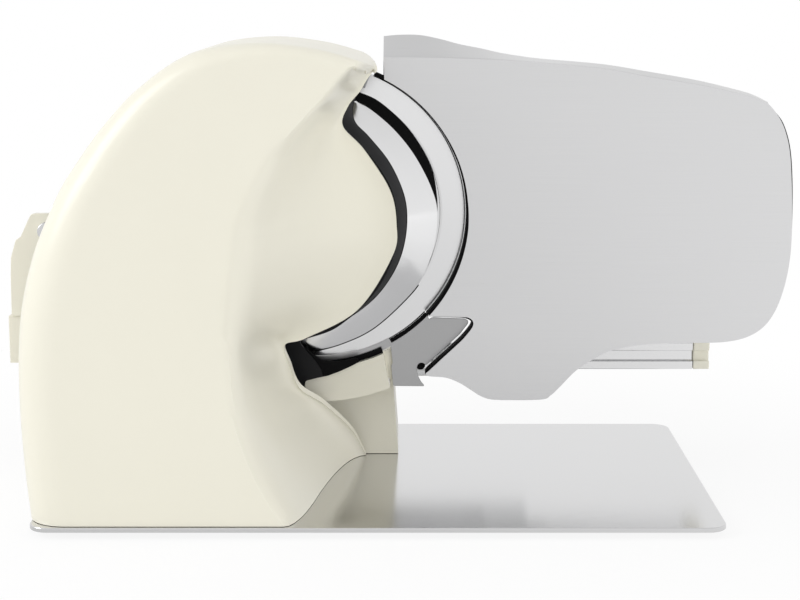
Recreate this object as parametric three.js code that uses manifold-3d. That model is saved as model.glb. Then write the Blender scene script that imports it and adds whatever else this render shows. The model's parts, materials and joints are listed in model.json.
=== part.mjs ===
// An electric food slicer: a cream cast housing on a steel base plate, a round blade, a gauge plate
// that sets the slice, and a food carriage with a pusher that slides past the blade.
// Millimetres, +Z up. X runs along the carriage's travel. The blade turns about an axis along Y.
import * as THREE from 'three';
import { mergeVertices } from 'three/addons/utils/BufferGeometryUtils.js';
import Module from 'manifold-3d';

const wasm = await Module();
wasm.setup();

// Shared clearances
const gap = 0.3;
const overrun = 1;
const weldShare = 0.0001;

// Angles, in degrees
const halfTurnAngle = 180;
const fullTurnAngle = 360;
const degrees = Math.PI / halfTurnAngle;

// Base plate and feet. The plate's top is the height zero of everything that stands on it.
const baseLeft = 168;
const baseRight = 250;
const baseNear = 152;
const baseFar = 106;
const baseThickness = 3;
const baseCorner = 12;
const footRadius = 11;
const footHeight = 4;
const footInset = 26;

// Blade
const bladeRadius = 97.5;
const bladeHeight = 170;
const bladeThickness = 3;
const bladeEdge = 0.5;
const bevelWidth = 16.5;
const bladeBore = 10;
const bladeScrewRadius = 2;
const bladeScrewHead = 4;
const bladeScrewHeadHeight = 1.6;
const bladeScrewCircle = 28;
const bladeScrewCount = 3;
const bladeScrewLength = 6;

// Housing. Each row of shares is one line across the shell, from the base up over the top: left outline,
// crease and trim edge as x and z, then the edge rounding and the depth of the trim edge.
const housingReach = 174;
const housingHeight = 285;
const housingNear = 150;
const housingBack = 12;
const housingWall = 3;
const housingRounding = 24;
const scoopDepthShare = 1.1;
const scoopDepth = housingNear * scoopDepthShare;
const rimDepthShare = 0.618;
const housingRowShares = [
  [-0.974, 0.000, -0.034, 0.000, 0.178, 0.000, 1.00, 1.000],
  [-0.989, 0.098, -0.126, 0.091, 0.125, 0.072, 1.00, 0.930],
  [-0.999, 0.211, -0.184, 0.175, 0.023, 0.151, 1.00, 0.812],
  [-1.000, 0.298, -0.216, 0.246, -0.064, 0.203, 1.00, 0.703],
  [-0.996, 0.368, -0.230, 0.302, -0.096, 0.267, 1.00, 0.630],
  [-0.983, 0.446, -0.236, 0.365, -0.112, 0.317, 1.00, 0.594],
  [-0.957, 0.519, -0.233, 0.421, -0.033, 0.333, 1.00, 0.600],
  [-0.920, 0.589, -0.227, 0.484, 0.157, 0.396, 0.96, 0.618],
  [-0.868, 0.660, -0.213, 0.561, 0.285, 0.519, 0.92, 0.618],
  [-0.833, 0.702, -0.204, 0.604, 0.299, 0.589, 0.90, 0.618],
  [-0.793, 0.740, -0.190, 0.639, 0.275, 0.665, 0.88, 0.618],
  [-0.690, 0.825, -0.132, 0.712, 0.183, 0.754, 0.79, 0.612],
  [-0.557, 0.909, -0.052, 0.793, 0.106, 0.807, 0.71, 0.600],
  [-0.379, 0.979, 0.029, 0.853, 0.124, 0.851, 0.62, 0.588],
  [-0.167, 1.000, 0.086, 0.895, 0.167, 0.884, 0.54, 0.576],
  [0.029, 0.989, 0.121, 0.923, 0.195, 0.912, 0.42, 0.570],
  [0.172, 0.966, 0.155, 0.946, 0.221, 0.933, 0.25, 0.564],
];
const rowsBetween = 2;

// Frame wall inside the housing's open back
const wallThickness = 4;
const wallBore = 24;
const wallDrumX = 17;
const wallDrumDrop = 4;
const wallDrumRadius = 64;
const wallFootDepth = 40;
const wallFootLeft = 140;
const wallFootRight = 30;
const wallFootRise = 4;
const wallMarginShare = 1.4;
const wallDrumStartAngle = 60;
const wallDrumEndAngle = -82;

// Deflector: a bright conical plate on a black carrier. Shares of the blade's radius, from its axis.
const deflectorThickness = 1;
const deflectorClearance = 1;
const deflectorPitchShare = 0.55;
const plateOuterShares = [
  [0.270, 0.754], [0.393, 0.671], [0.530, 0.547], [0.657, 0.384], [0.764, 0.178], [0.808, 0.005],
  [0.786, -0.225], [0.701, -0.454], [0.561, -0.626], [0.362, -0.800], [0.152, -0.901], [-0.058, -0.960],
];
const plateInnerShares = [
  [0.249, 0.752], [0.243, 0.672], [0.268, 0.605], [0.352, 0.520], [0.489, 0.348], [0.583, 0.140],
  [0.605, -0.040], [0.577, -0.236], [0.505, -0.410], [0.387, -0.572], [0.220, -0.707], [0.020, -0.816],
  [-0.100, -0.853],
];
const carrierRimShares = [
  [0.288, 0.824], [0.222, 0.748], [0.182, 0.650], [0.226, 0.554], [0.362, 0.425], [0.496, 0.218],
  [0.539, 0.000], [0.515, -0.225], [0.420, -0.434], [0.300, -0.574], [0.128, -0.716], [-0.055, -0.783],
  [-0.172, -0.812],
];
const carrierWall = 2.5;
const carrierLip = 12;
const carrierLipThickness = 2;
const carrierHeel = 3;
const carrierFootNear = 20;
const carrierFootFar = 11.8;
const carrierFootShares = [
  [-0.082, -0.774], [-0.164, -0.769], [-0.207, -0.846], [-0.229, -0.887], [-0.226, -0.932],
  [-0.205, -0.975], [-0.177, -1.050], [-0.151, -1.113], [-0.118, -1.183], [-0.095, -1.162],
  [-0.081, -1.127], [0.035, -1.098], [0.022, -1.050], [-0.012, -0.995], [-0.045, -0.955],
  [-0.078, -0.920], [-0.108, -0.880], [-0.122, -0.847], [-0.112, -0.827],
];
const carrierApronFar = 10.6;
const carrierApronShares = [
  [-0.100, -0.905], [-0.150, -1.000], [-0.110, -1.100], [-0.085, -1.141], [-0.017, -1.125],
  [0.065, -1.108], [0.147, -1.077], [0.230, -1.038], [0.283, -1.008], [0.260, -0.985],
  [0.150, -1.008], [0.030, -1.006], [-0.037, -0.957], [-0.071, -0.929],
];
const carrierBandNear = 12.5;
const carrierBandFar = 3.6;
const carrierBandClearance = 0.8;
const carrierBandWidth = 4.2;
const carrierBandStartAngle = 271;
const carrierBandEndAngle = 295.2;
const deflectorSteps = 30;

// Ring guard round the hidden side of the blade
const ringClearance = 1.5;
const ringWidth = 7;
const ringFar = 3;
const ringWebWidth = 11;
const ringWebThickness = 3.5;
const ringStartAngle = 69;
const ringEndAngle = 247;

// Cream column under the blade
const columnNear = 10;
const columnFar = 15;
const columnTopRadius = 103;
const columnLowRadius = 126;
const columnLeft = 9;
const shoulderNear = 5;
const shoulderLeft = 20;
const columnRightTop = 43;
const columnRightLow = 47.5;
const lugRight = 58;
const lugLow = 58;
const lugHigh = 80;
const lugNear = 1.2;

// Lower guard plate. Shares of the blade's radius, from the blade's axis.
const guardThickness = 1.5;
const guardClearance = 2.5;
const guardArcStartAngle = -43.5;
const guardArcEndAngle = -61.5;
const guardShares = [
  [0.494, -1.053], [0.508, -1.201], [0.728, -1.203], [0.700, -1.172], [0.680, -1.132], [0.671, -1.088],
  [0.676, -1.052], [0.696, -1.036], [0.716, -1.040], [0.735, -1.056], [0.966, -0.836], [1.022, -0.764],
  [1.022, -0.742], [0.995, -0.730], [0.765, -0.722],
];

// Drive: axle, hub, bearings, pulleys, belt and motor
const axleRadius = 7;
const bearingRadius = 15;
const bearingWidth = 7;
const hubWall = 5;
const hubNear = 48;
const hubFlangeRadius = 36;
const hubFlangeThickness = 4.7;
const drivePulleyRadius = 38;
const motorPulleyRadius = 8;
const pulleyFlange = 2.2;
const pulleyNear = 38;
const pulleyWidth = 16;
const pulleyWeb = 3;
const beltThickness = 2;
const beltWidth = 10;
const bracketNear = 60;
const bracketThickness = 8;
const bracketBossRadius = 12;
const bracketShoulderShare = 0.8;
const bracketBossStartAngle = 200;
const bracketLegLeft = 24;
const bracketLegRight = 4;
const bracketLegLow = 44;
const bracketLegHigh = 62;
const motorX = 105;
const motorHeight = 120;
const motorRadius = 31;
const motorLength = 84;
const motorNear = 128;
const motorShaftRadius = 4;
const motorBevel = 4;
const mountThickness = 3;
const mountHalf = 36;
const fanRadius = 24;
const fanWidth = 9;
const fanBladeCount = 9;
const fanBladeThickness = 1.6;
const fanHub = 8;

// Blade cover on the food side
const coverRadius = 78;
const coverThickness = 1.6;
const coverDish = 2.4;
const coverUnderShares = [0.333, 0.385, 0.93];
const coverOverShares = [0.95, 0.357, 0.313];
const coverScrewRadius = 9;
const coverScrewHead = 5;
const coverThread = 3;

// Front body on the food side
const bodyLeft = 158;
const bodyRight = 53;
const bodyRightTop = 49;
const bodyStepX = 32;
const bodyNear = 20;
const bodyFar = 98;
const bodyHeight = 59;
const bodyWall = 3;
const bodyCorner = 10;
const bulkheadLeft = 100;
const bulkheadRight = 20;

// Thickness gauge. Shares of the gauge plate's width and height, from its lower left corner, and for its
// tail by the lower guard shares of the blade's radius from the blade's axis.
const gaugeWidth = 267.7;
const gaugeHeightShare = 2.324;
const gaugeDropShare = 1.278;
const gaugeHeight = bladeRadius * gaugeHeightShare;
const gaugeLow = bladeHeight - bladeRadius * gaugeDropShare;
const gaugeDepth = 12;
const gaugeSkin = 1;
const gaugeClearance = 1.8;
const gaugeTravel = 15;
const gaugeTopShares = [[0.158, 0.997], [0.329, 0.989], [0.521, 0.969], [0.643, 0.944]];
const gaugeCornerShares = [
  [0.764, 0.921], [0.861, 0.897], [0.922, 0.876], [0.954, 0.841], [0.978, 0.788], [0.993, 0.707],
  [1.000, 0.562], [0.997, 0.416], [0.979, 0.307], [0.949, 0.233], [0.905, 0.192], [0.844, 0.174],
  [0.756, 0.171],
];
const gaugeBottomShares = [
  [0.683, 0.169], [0.622, 0.163], [0.585, 0.154], [0.548, 0.141], [0.482, 0.093], [0.437, 0.039],
  [0.416, 0.015], [0.390, 0.001],
];
const gaugeTailShares = [
  [1.238, -1.278], [1.175, -1.276], [1.109, -1.255], [0.966, -1.159], [0.873, -1.120], [0.741, -1.113],
  [0.719, -1.090], [0.829, -0.985], [0.977, -0.846], [1.043, -0.762], [1.040, -0.729], [0.996, -0.709],
  [0.779, -0.702],
];
const gaugeArcStartAngle = -43;
const gaugeArcEndAngle = 64;
const gaugeLeft = (bladeRadius + gaugeClearance) * Math.cos(gaugeArcEndAngle * degrees);
const lipDepth = 26;
const lipCornerPoints = 3;
const lipShares = [
  [0.000, 1.056, 1.00], [0.040, 1.060, 1.00], [0.089, 1.059, 1.00], [0.138, 1.048, 0.96],
  [0.187, 1.033, 0.90], [0.236, 1.022, 0.84], [0.286, 1.009, 0.77], [0.335, 1.000, 0.70],
  [0.384, 0.993, 0.64], [0.532, 0.978, 0.50], [0.643, 0.957, 0.48], [0.764, 0.932, 0.46],
  [0.861, 0.905, 0.46], [0.900, 0.891, 0.34],
];

// Gauge arm, its slider, guide rods, cam and knob
const knobX = 60;
const knobHeight = 30;
const knobRadius = 22;
const knobLength = 17;
const knobRidgeWidth = 7;
const knobRidgeHeight = 9;
const knobBoreDepth = 12;
const knobWaistShare = 0.82;
const knobTopShare = 0.78;
const knobBevelShare = 1.4;
const camRadius = 11;
const camRunout = 8;
const camShaftRadius = 4;
const grooveDepth = 3;
const grooveTurnAngle = 270;
const grooveMargin = 16;
const pinRadius = 2;
const armClearance = 1;
const armHeight = 5.5;
const armNear = 44;
const armWidth = 20;
const armPostLeft = 112;
const armPostWidth = 31;
const sliderHalf = 32;
const sliderDrop = 12;
const guideRadius = 4;
const guideSpacing = 22;
const slotClearance = 2;
const armHigh = bodyHeight - bodyWall - armClearance;
const armLow = armHigh - armHeight;
const armFar = armNear + armWidth;
const armPostRight = armPostLeft + armPostWidth;
const armLeft = knobX + sliderHalf;
const sliderHigh = armLow - gap;
const sliderCentre = (armNear + armFar) / 2;
const camNear = sliderCentre - gaugeTravel - camRunout;
const camFar = sliderCentre + camRunout;
const camNearEnd = bodyNear + gap * 2;

// Push buttons with their springs, and the control board
const stopX = 128;
const startX = 106;
const buttonHeight = 32;
const buttonRadius = 7;
const buttonTravel = 2.5;
const buttonPressedProud = 1;
const buttonFlange = 1.8;
const buttonFlangeWidth = 2;
const boardLeft = 142;
const boardRight = 92;
const boardLow = 8;
const boardHigh = 52;
const boardNear = 72;
const boardThickness = 3;
const plugDepth = 12;
const standDepth = 9;
const springRadius = 4;
const springWire = 0.5;
const springTurns = 5;
const springSteps = 8;
const springSides = 5;
const inletX = 146;
const inletHeight = 16;
const inletRadius = 8;
const inletBore = 3.5;
const inletProud = 6;

// Rail and carriage
const railNear = 21;
const railDepth = 40;
const railHeight = 18.5;
const railLeft = 168;
const railRunout = 55;
const railWall = 2.5;
const railGroove = 3;
const railGrooveHeight = 7;
const capRight = 11;
const capLeft = 4;
const carriageTravel = 250;
const jawThickness = 3.7;
const jawDrop = 13.3;
const sliderCrown = 8.9;
const carriageLeft = 211;
const carriageLength = 160;
const endBlockWidth = 13;
const endBlockRise = 10.3;
const trayLength = 184.7;
const trayNear = 8;
const trayFar = 135;
const trayThickness = 2;
const trayWallHeight = 14;
const trayCorner = 10;
const earThickness = 5;
const castingFar = 118;
const castingWall = 5;
const castingWidth = 39;
const castingHeight = 69.7;
const castingDrop = 8;
const castingShares = [
  [0.065, 0.000], [0.072, 0.383], [0.088, 0.570], [0.180, 0.742], [0.272, 0.778], [0.410, 0.943],
  [0.460, 0.990], [0.530, 1.000], [0.860, 1.000], [0.960, 0.970], [1.000, 0.900], [1.000, 0.640],
  [0.960, 0.540], [0.900, 0.480],
];
const castingFootShare = 0.9;
const castingStepShare = 0.35;
const rodInset = 28;
const rodRise = 57.7;
const rodRadius = 6;
const rodProud = 2;
const sleeveRadius = 8.5;
const sleeveCollar = 11;
const sleeveLength = 28;
const sleeveCollarWidth = 3;
const sleeveRunout = 2.4;
const pusherTravel = 62;
const pusherHub = 13;
const pusherArmThickness = 8;
const pusherPlateInset = 18;
const pusherPlateWidth = 110;
const pusherPlateRise = 4;
const pusherPlateHeight = 57;
const pusherPlateThickness = 4;
const pusherCorner = 8;
const toothColumns = 6;
const toothRows = 3;
const toothRadius = 2.2;
const toothHeight = 3;
const toothSides = 4;
const pusherBarHeight = 14;
const pusherPadWidth = 30;
const pusherPadDrop = 28;
const gripRadius = 15;
const gripLength = 34;
const gripNeck = 7;
const gripShares = [[0.80, 0.42], [1.00, 0.62], [0.93, 0.80], [0.70, 0.94], [0.00, 1.00]];

// Places along the rail and the carriage
const railLow = bodyHeight + gap;
const railTop = railLow + railHeight;
const railRight = carriageLength - carriageLeft + carriageTravel + railRunout;
const sliderTop = railTop + sliderCrown;
const jawLow = railTop - jawDrop;
const endBlockTop = sliderTop + endBlockRise;
const trayLow = sliderTop + gap;
const trayLeft = carriageLeft - endBlockWidth - gap;
const trayRight = trayLeft - trayLength;
const castingLow = endBlockTop + gap;
const rodX = carriageLeft - rodInset;
const rodHeight = castingLow + rodRise;
const sleeveFar = castingFar - earThickness - gap;
const sleeveNear = sleeveFar - sleeveLength;
const earNear = sleeveNear - pusherTravel - sleeveRunout - earThickness;
const armFront = sleeveNear + sleeveCollarWidth + gap;
const plateFar = armFront - gap;
const pusherPlateLeft = rodX - pusherPlateInset;
const pusherPlateLow = trayLow + trayThickness + pusherPlateRise;
const padMiddle = -pusherPlateLeft + pusherPlateWidth / 2;

// Facets of round things
const fineSides = 80;
const roundSides = 36;
const smallSides = 20;
const tinySides = 10;
const cornerSides = 5;

// Finishes
const finish = {
  cream: new THREE.MeshStandardMaterial({ color: 0xf1edda, roughness: 0.35, metalness: 0 }),
  steel: new THREE.MeshStandardMaterial({ color: 0xbfc1c2, roughness: 0.32, metalness: 1 }),
  polished: new THREE.MeshStandardMaterial({ color: 0xd8d9da, roughness: 0.12, metalness: 1 }),
  black: new THREE.MeshStandardMaterial({ color: 0x17181a, roughness: 0.45, metalness: 0 }),
  cast: new THREE.MeshStandardMaterial({ color: 0x8d9093, roughness: 0.55, metalness: 1 }),
  aluminium: new THREE.MeshStandardMaterial({ color: 0xc9cbcd, roughness: 0.3, metalness: 1 }),
  rubber: new THREE.MeshStandardMaterial({ color: 0x202022, roughness: 0.8, metalness: 0 }),
  board: new THREE.MeshStandardMaterial({ color: 0x2f6b43, roughness: 0.5, metalness: 0 }),
};

// Geometry tools

// One closed indexed body with its faces pointing out.
function welded(geometry) {
  const bare = new THREE.BufferGeometry();
  bare.setAttribute('position', geometry.getAttribute('position'));
  if (geometry.index) {
    bare.setIndex(geometry.index);
  }
  const merged = mergeVertices(bare, weldShare);
  const place = merged.getAttribute('position');
  const old = merged.index.array;
  const kept = [];
  for (let i = 0; i < old.length; i += 3) {
    const [a, b, c] = [old[i], old[i + 1], old[i + 2]];
    if (a !== b && b !== c && c !== a) {
      kept.push(a, b, c);
    }
  }
  merged.setIndex(kept);
  if (volumeOf(place, kept) < 0) {
    for (let i = 0; i < kept.length; i += 3) {
      [kept[i], kept[i + 1]] = [kept[i + 1], kept[i]];
    }
    merged.setIndex(kept);
  }
  return merged;
}

function volumeOf(place, index) {
  const a = new THREE.Vector3();
  const b = new THREE.Vector3();
  const c = new THREE.Vector3();
  let sum = 0;
  for (let i = 0; i < index.length; i += 3) {
    a.fromBufferAttribute(place, index[i]);
    b.fromBufferAttribute(place, index[i + 1]);
    c.fromBufferAttribute(place, index[i + 2]);
    sum += a.dot(b.cross(c));
  }
  return sum / 6;
}

function toSolid(geometry) {
  const body = welded(geometry);
  const vertProperties = new Float32Array(body.getAttribute('position').array);
  const triVerts = new Uint32Array(body.index.array);
  return new wasm.Manifold(new wasm.Mesh({ numProp: 3, vertProperties, triVerts }));
}

function toGeometry(solid) {
  const mesh = solid.getMesh();
  const geometry = new THREE.BufferGeometry();
  geometry.setAttribute('position', new THREE.BufferAttribute(mesh.vertProperties, 3));
  geometry.setIndex(new THREE.BufferAttribute(mesh.triVerts, 1));
  return geometry;
}

function join(...bodies) {
  return toGeometry(bodies.map(toSolid).reduce((a, b) => a.add(b)));
}

function cut(body, ...tools) {
  return toGeometry(tools.map(toSolid).reduce((a, b) => a.subtract(b), toSolid(body)));
}

function common(a, b) {
  return toGeometry(toSolid(a).intersect(toSolid(b)));
}

function shapeOf(points) {
  return new THREE.Shape(points.map(([a, b]) => new THREE.Vector2(a, b)));
}

// An outline in X and Z, carried along Y from near to far.
function alongY(outline, near, far) {
  const shape = Array.isArray(outline) ? shapeOf(outline) : outline;
  const depth = far - near;
  const settings = { depth, bevelEnabled: false, curveSegments: cornerSides };
  const geometry = new THREE.ExtrudeGeometry(shape, settings);
  return geometry.rotateX(Math.PI / 2).translate(0, far, 0);
}

// An outline in X and Y, carried up Z.
function upZ(outline, low, high) {
  const shape = Array.isArray(outline) ? shapeOf(outline) : outline;
  const depth = high - low;
  const settings = { depth, bevelEnabled: false, curveSegments: cornerSides };
  const geometry = new THREE.ExtrudeGeometry(shape, settings);
  return geometry.translate(0, 0, low);
}

// An outline in Y and Z, carried along X.
function alongX(outline, left, right) {
  const shape = Array.isArray(outline) ? shapeOf(outline) : outline;
  const geometry = new THREE.ExtrudeGeometry(shape, { depth: right - left, bevelEnabled: false });
  const turn = new THREE.Matrix4().makeBasis(
    new THREE.Vector3(0, 1, 0), new THREE.Vector3(0, 0, 1), new THREE.Vector3(1, 0, 0));
  return geometry.applyMatrix4(turn).translate(left, 0, 0);
}

function block(left, right, near, far, low, high) {
  const geometry = new THREE.BoxGeometry(right - left, far - near, high - low);
  return geometry.translate((left + right) / 2, (near + far) / 2, (low + high) / 2);
}

// A closed profile of radius and y, turned about a line along Y through x and z.
function turned(profile, x, z, sides) {
  const points = profile.map(([r, y]) => new THREE.Vector2(r, y));
  points.push(points[0].clone());
  return new THREE.LatheGeometry(points, sides).translate(x, 0, z);
}

function rod(radius, near, far, x, z, sides) {
  return turned([[0, near], [radius, near], [radius, far], [0, far]], x, z, sides);
}

function tube(inner, outer, near, far, x, z, sides) {
  return turned([[inner, near], [outer, near], [outer, far], [inner, far]], x, z, sides);
}

// A closed profile of radius and z, turned about a vertical line.
function post(profile, x, y, sides) {
  const points = profile.map(([r, z]) => new THREE.Vector2(r, z));
  points.push(points[0].clone());
  return new THREE.LatheGeometry(points, sides).rotateX(Math.PI / 2).translate(x, y, 0);
}

// Points of an arc about x and z, from one angle to another in degrees.
function arc(x, z, radius, from, to, steps) {
  const points = [];
  for (let i = 0; i <= steps; i += 1) {
    const angle = (from + (to - from) * i / steps) * degrees;
    points.push([x + radius * Math.cos(angle), z + radius * Math.sin(angle)]);
  }
  return points;
}

function smooth(points, steps) {
  const curve = new THREE.SplineCurve(points.map(([a, b]) => new THREE.Vector2(a, b)));
  return curve.getPoints(steps).map((p) => [p.x, p.y]);
}

function scaled(shares, width, height, x, z) {
  return shares.map(([a, b]) => [x + a * width, z + b * height]);
}

function roundedRect(left, right, low, high, radius) {
  const shape = new THREE.Shape();
  shape.absarc(right - radius, high - radius, radius, 0, Math.PI / 2);
  shape.absarc(left + radius, high - radius, radius, Math.PI / 2, Math.PI);
  shape.absarc(left + radius, low + radius, radius, Math.PI, Math.PI * 1.5);
  shape.absarc(right - radius, low + radius, radius, Math.PI * 1.5, Math.PI * 2);
  shape.closePath();
  return shape;
}

// An outline moved inwards by a distance, point by point along the bisector. The outline runs clockwise.
function inset(points, distance) {
  const count = points.length;
  return points.map((point, i) => {
    const here = new THREE.Vector2(...point);
    const back = new THREE.Vector2(...points[(i + count - 1) % count]);
    const next = new THREE.Vector2(...points[(i + 1) % count]);
    const a = here.clone().sub(back).normalize();
    const b = next.sub(here).normalize();
    const normal = new THREE.Vector2(a.y + b.y, -a.x - b.x).normalize();
    const spread = Math.max(0.5, normal.dot(new THREE.Vector2(a.y, -a.x)));
    return [point[0] + normal.x * distance / spread, point[1] + normal.y * distance / spread];
  });
}

// Closed skin over rings of points. Each ring is a closed section, and the two ends are capped.
function lofted(rings, capPlane) {
  const sides = rings[0].length;
  const places = rings.flat().flatMap((p) => [p.x, p.y, p.z]);
  const index = [];
  for (let i = 0; i + 1 < rings.length; i += 1) {
    for (let j = 0; j < sides; j += 1) {
      const a = i * sides + j;
      const b = i * sides + (j + 1) % sides;
      index.push(a, b, a + sides, b, b + sides, a + sides);
    }
  }
  const ends = [[rings[0], 0, true], [rings.at(-1), (rings.length - 1) * sides, false]];
  for (const [ring, start, flip] of ends) {
    for (const [a, b, c] of THREE.ShapeUtils.triangulateShape(ring.map(capPlane), [])) {
      const face = flip ? [a, c, b] : [a, b, c];
      index.push(...face.map((k) => start + k));
    }
  }
  const geometry = new THREE.BufferGeometry();
  geometry.setAttribute('position', new THREE.Float32BufferAttribute(places, 3));
  geometry.setIndex(index);
  return consistent(geometry, sides);
}

// The caps of a lofted skin are turned until every shared edge runs both ways.
function consistent(geometry, sides) {
  const index = Array.from(geometry.index.array);
  const edges = new Set();
  const wallCount = index.length - (sides - 2) * 6;
  for (let i = 0; i < wallCount; i += 3) {
    for (let k = 0; k < 3; k += 1) {
      edges.add(`${index[i + k]}_${index[i + (k + 1) % 3]}`);
    }
  }
  const secondCap = wallCount + (sides - 2) * 3;
  for (const [from, to] of [[wallCount, secondCap], [secondCap, index.length]]) {
    let clash = false;
    for (let i = from; i < to; i += 3) {
      for (let k = 0; k < 3; k += 1) {
        clash = clash || edges.has(`${index[i + k]}_${index[i + (k + 1) % 3]}`);
      }
    }
    if (clash) {
      for (let i = from; i < to; i += 3) {
        [index[i], index[i + 1]] = [index[i + 1], index[i]];
      }
    }
  }
  geometry.setIndex(index);
  return geometry;
}

// Closed shell between two grids of points, joined round their four edges.
function shellBetween(outer, inner) {
  const rows = outer.length;
  const columns = outer[0].length;
  const places = [...outer.flat(), ...inner.flat()].flatMap((p) => [p.x, p.y, p.z]);
  const index = [];
  const second = rows * columns;
  const at = (i, j) => i * columns + j;
  for (let i = 0; i + 1 < rows; i += 1) {
    for (let j = 0; j + 1 < columns; j += 1) {
      const [a, b, c, d] = [at(i, j), at(i, j + 1), at(i + 1, j + 1), at(i + 1, j)];
      index.push(a, b, c, a, c, d);
      index.push(second + a, second + c, second + b, second + a, second + d, second + c);
    }
  }
  const edge = [];
  for (let j = 0; j + 1 < columns; j += 1) {
    edge.push(at(0, j));
  }
  for (let i = 0; i + 1 < rows; i += 1) {
    edge.push(at(i, columns - 1));
  }
  for (let j = columns - 1; j > 0; j -= 1) {
    edge.push(at(rows - 1, j));
  }
  for (let i = rows - 1; i > 0; i -= 1) {
    edge.push(at(i, 0));
  }
  edge.forEach((a, k) => {
    const b = edge[(k + 1) % edge.length];
    index.push(a, second + a, b, b, second + a, second + b);
  });
  const geometry = new THREE.BufferGeometry();
  geometry.setAttribute('position', new THREE.Float32BufferAttribute(places, 3));
  geometry.setIndex(index);
  return geometry;
}

// Base

function basePlate() {
  return upZ(roundedRect(-baseLeft, baseRight, -baseNear, baseFar, baseCorner), -baseThickness, 0);
}

function foot(x, y) {
  const top = -baseThickness - gap;
  const low = top - footHeight;
  const chamfer = footHeight / 4;
  const profile = [
    [0, low], [footRadius - chamfer, low], [footRadius, low + chamfer], [footRadius, top], [0, top],
  ];
  return post(profile, x, y, smallSides);
}

// Housing

// The rows of the shares table with smooth rows between them, each as named places in millimetres.
function housingRows() {
  const rows = [];
  const last = housingRowShares.length - 1;
  for (let step = 0; step <= last * rowsBetween; step += 1) {
    const place = step / rowsBetween;
    const i = Math.min(Math.floor(place), last - 1);
    const t = place - i;
    const near = [i - 1, i, i + 1, i + 2].map((k) => Math.min(Math.max(k, 0), last));
    const four = near.map((k) => housingRowShares[k]);
    const row = four[1].map((_, k) => {
      const [a, b, c, d] = four.map((r) => r[k]);
      return b + t * ((c - a) / 2 + t * (a - 2.5 * b + 2 * c - d / 2 + t * (1.5 * (b - c) + (d - a) / 2)));
    });
    rows.push({
      left: new THREE.Vector2(row[0] * housingReach, row[1] * housingHeight),
      crease: new THREE.Vector2(row[2] * housingReach, row[3] * housingHeight),
      trim: new THREE.Vector2(row[4] * housingReach, row[5] * housingHeight),
      rounding: row[6] * housingRounding,
      depth: row[7] * scoopDepth,
    });
  }
  return rows;
}

const wallColumns = 1;
const roundColumns = 5;
const flatColumns = 3;
const scoopColumns = 9;

// One row of the outer skin: side wall, rounded edge, flat face, then the scoop down to the trim edge.
function housingRow(row) {
  const points = [];
  const near = -housingNear;
  const rounding = row.rounding;
  const reach = row.crease.clone().sub(row.left);
  const along = reach.clone().normalize();
  for (let i = 0; i < wallColumns; i += 1) {
    const y = -housingBack + (near + rounding + housingBack) * i / wallColumns;
    points.push(new THREE.Vector3(row.left.x, y, row.left.y));
  }
  for (let i = 0; i <= roundColumns; i += 1) {
    const angle = i / roundColumns * Math.PI / 2;
    const place = row.left.clone().addScaledVector(along, rounding * (1 - Math.cos(angle)));
    points.push(new THREE.Vector3(place.x, near + rounding * (1 - Math.sin(angle)), place.y));
  }
  const flatStart = row.left.clone().addScaledVector(along, rounding);
  for (let i = 1; i <= flatColumns; i += 1) {
    const place = flatStart.clone().lerp(row.crease, i / flatColumns);
    points.push(new THREE.Vector3(place.x, near, place.y));
  }
  for (let i = 1; i <= scoopColumns; i += 1) {
    const share = i / scoopColumns;
    const place = row.crease.clone().lerp(row.trim, share);
    points.push(new THREE.Vector3(place.x, near + row.depth * (1 - (1 - share) ** 2), place.y));
  }
  return points;
}

function outwardNormal(grid, i, j) {
  const rows = grid.length;
  const columns = grid[0].length;
  const up = grid[Math.min(i + 1, rows - 1)][j].clone().sub(grid[Math.max(i - 1, 0)][j]);
  const across = grid[i][Math.min(j + 1, columns - 1)].clone().sub(grid[i][Math.max(j - 1, 0)]);
  return across.cross(up).normalize();
}

function housingSkins() {
  const outer = housingRows().map(housingRow);
  const inner = outer.map((row, i) => row.map((point, j) => {
    const normal = outwardNormal(outer, i, j);
    const moved = point.clone().addScaledVector(normal, -housingWall);
    if (i === 0) {
      moved.z = 0;
    }
    if (j === 0) {
      moved.y = -housingBack;
    }
    return moved;
  }));
  return [outer, inner];
}

const creaseColumn = wallColumns + roundColumns + flatColumns;

// The casting is built as two solids, so that collision can follow each. The face ends in a square edge
// at the crease, and the scoop starts right behind that edge.
function housingFace() {
  const [outer, inner] = housingSkins().map((skin) => skin.map((row) => row.slice(0, creaseColumn + 1)));
  inner.forEach((row, i) => row[creaseColumn].copy(outer[i][creaseColumn]).setY(-housingNear + housingWall));
  return shellBetween(outer, inner).translate(0, 0, gap);
}

function housingScoop() {
  const [outer, inner] = housingSkins().map((skin) => skin.map((row) => row.slice(creaseColumn)));
  outer.forEach(([start, next], i) => {
    start.lerp(next, (housingWall + gap) / (next.y - start.y));
    inner[i][0].copy(start).add(inner[i][1]).sub(next);
  });
  return shellBetween(outer, inner).translate(0, 0, gap);
}

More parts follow.
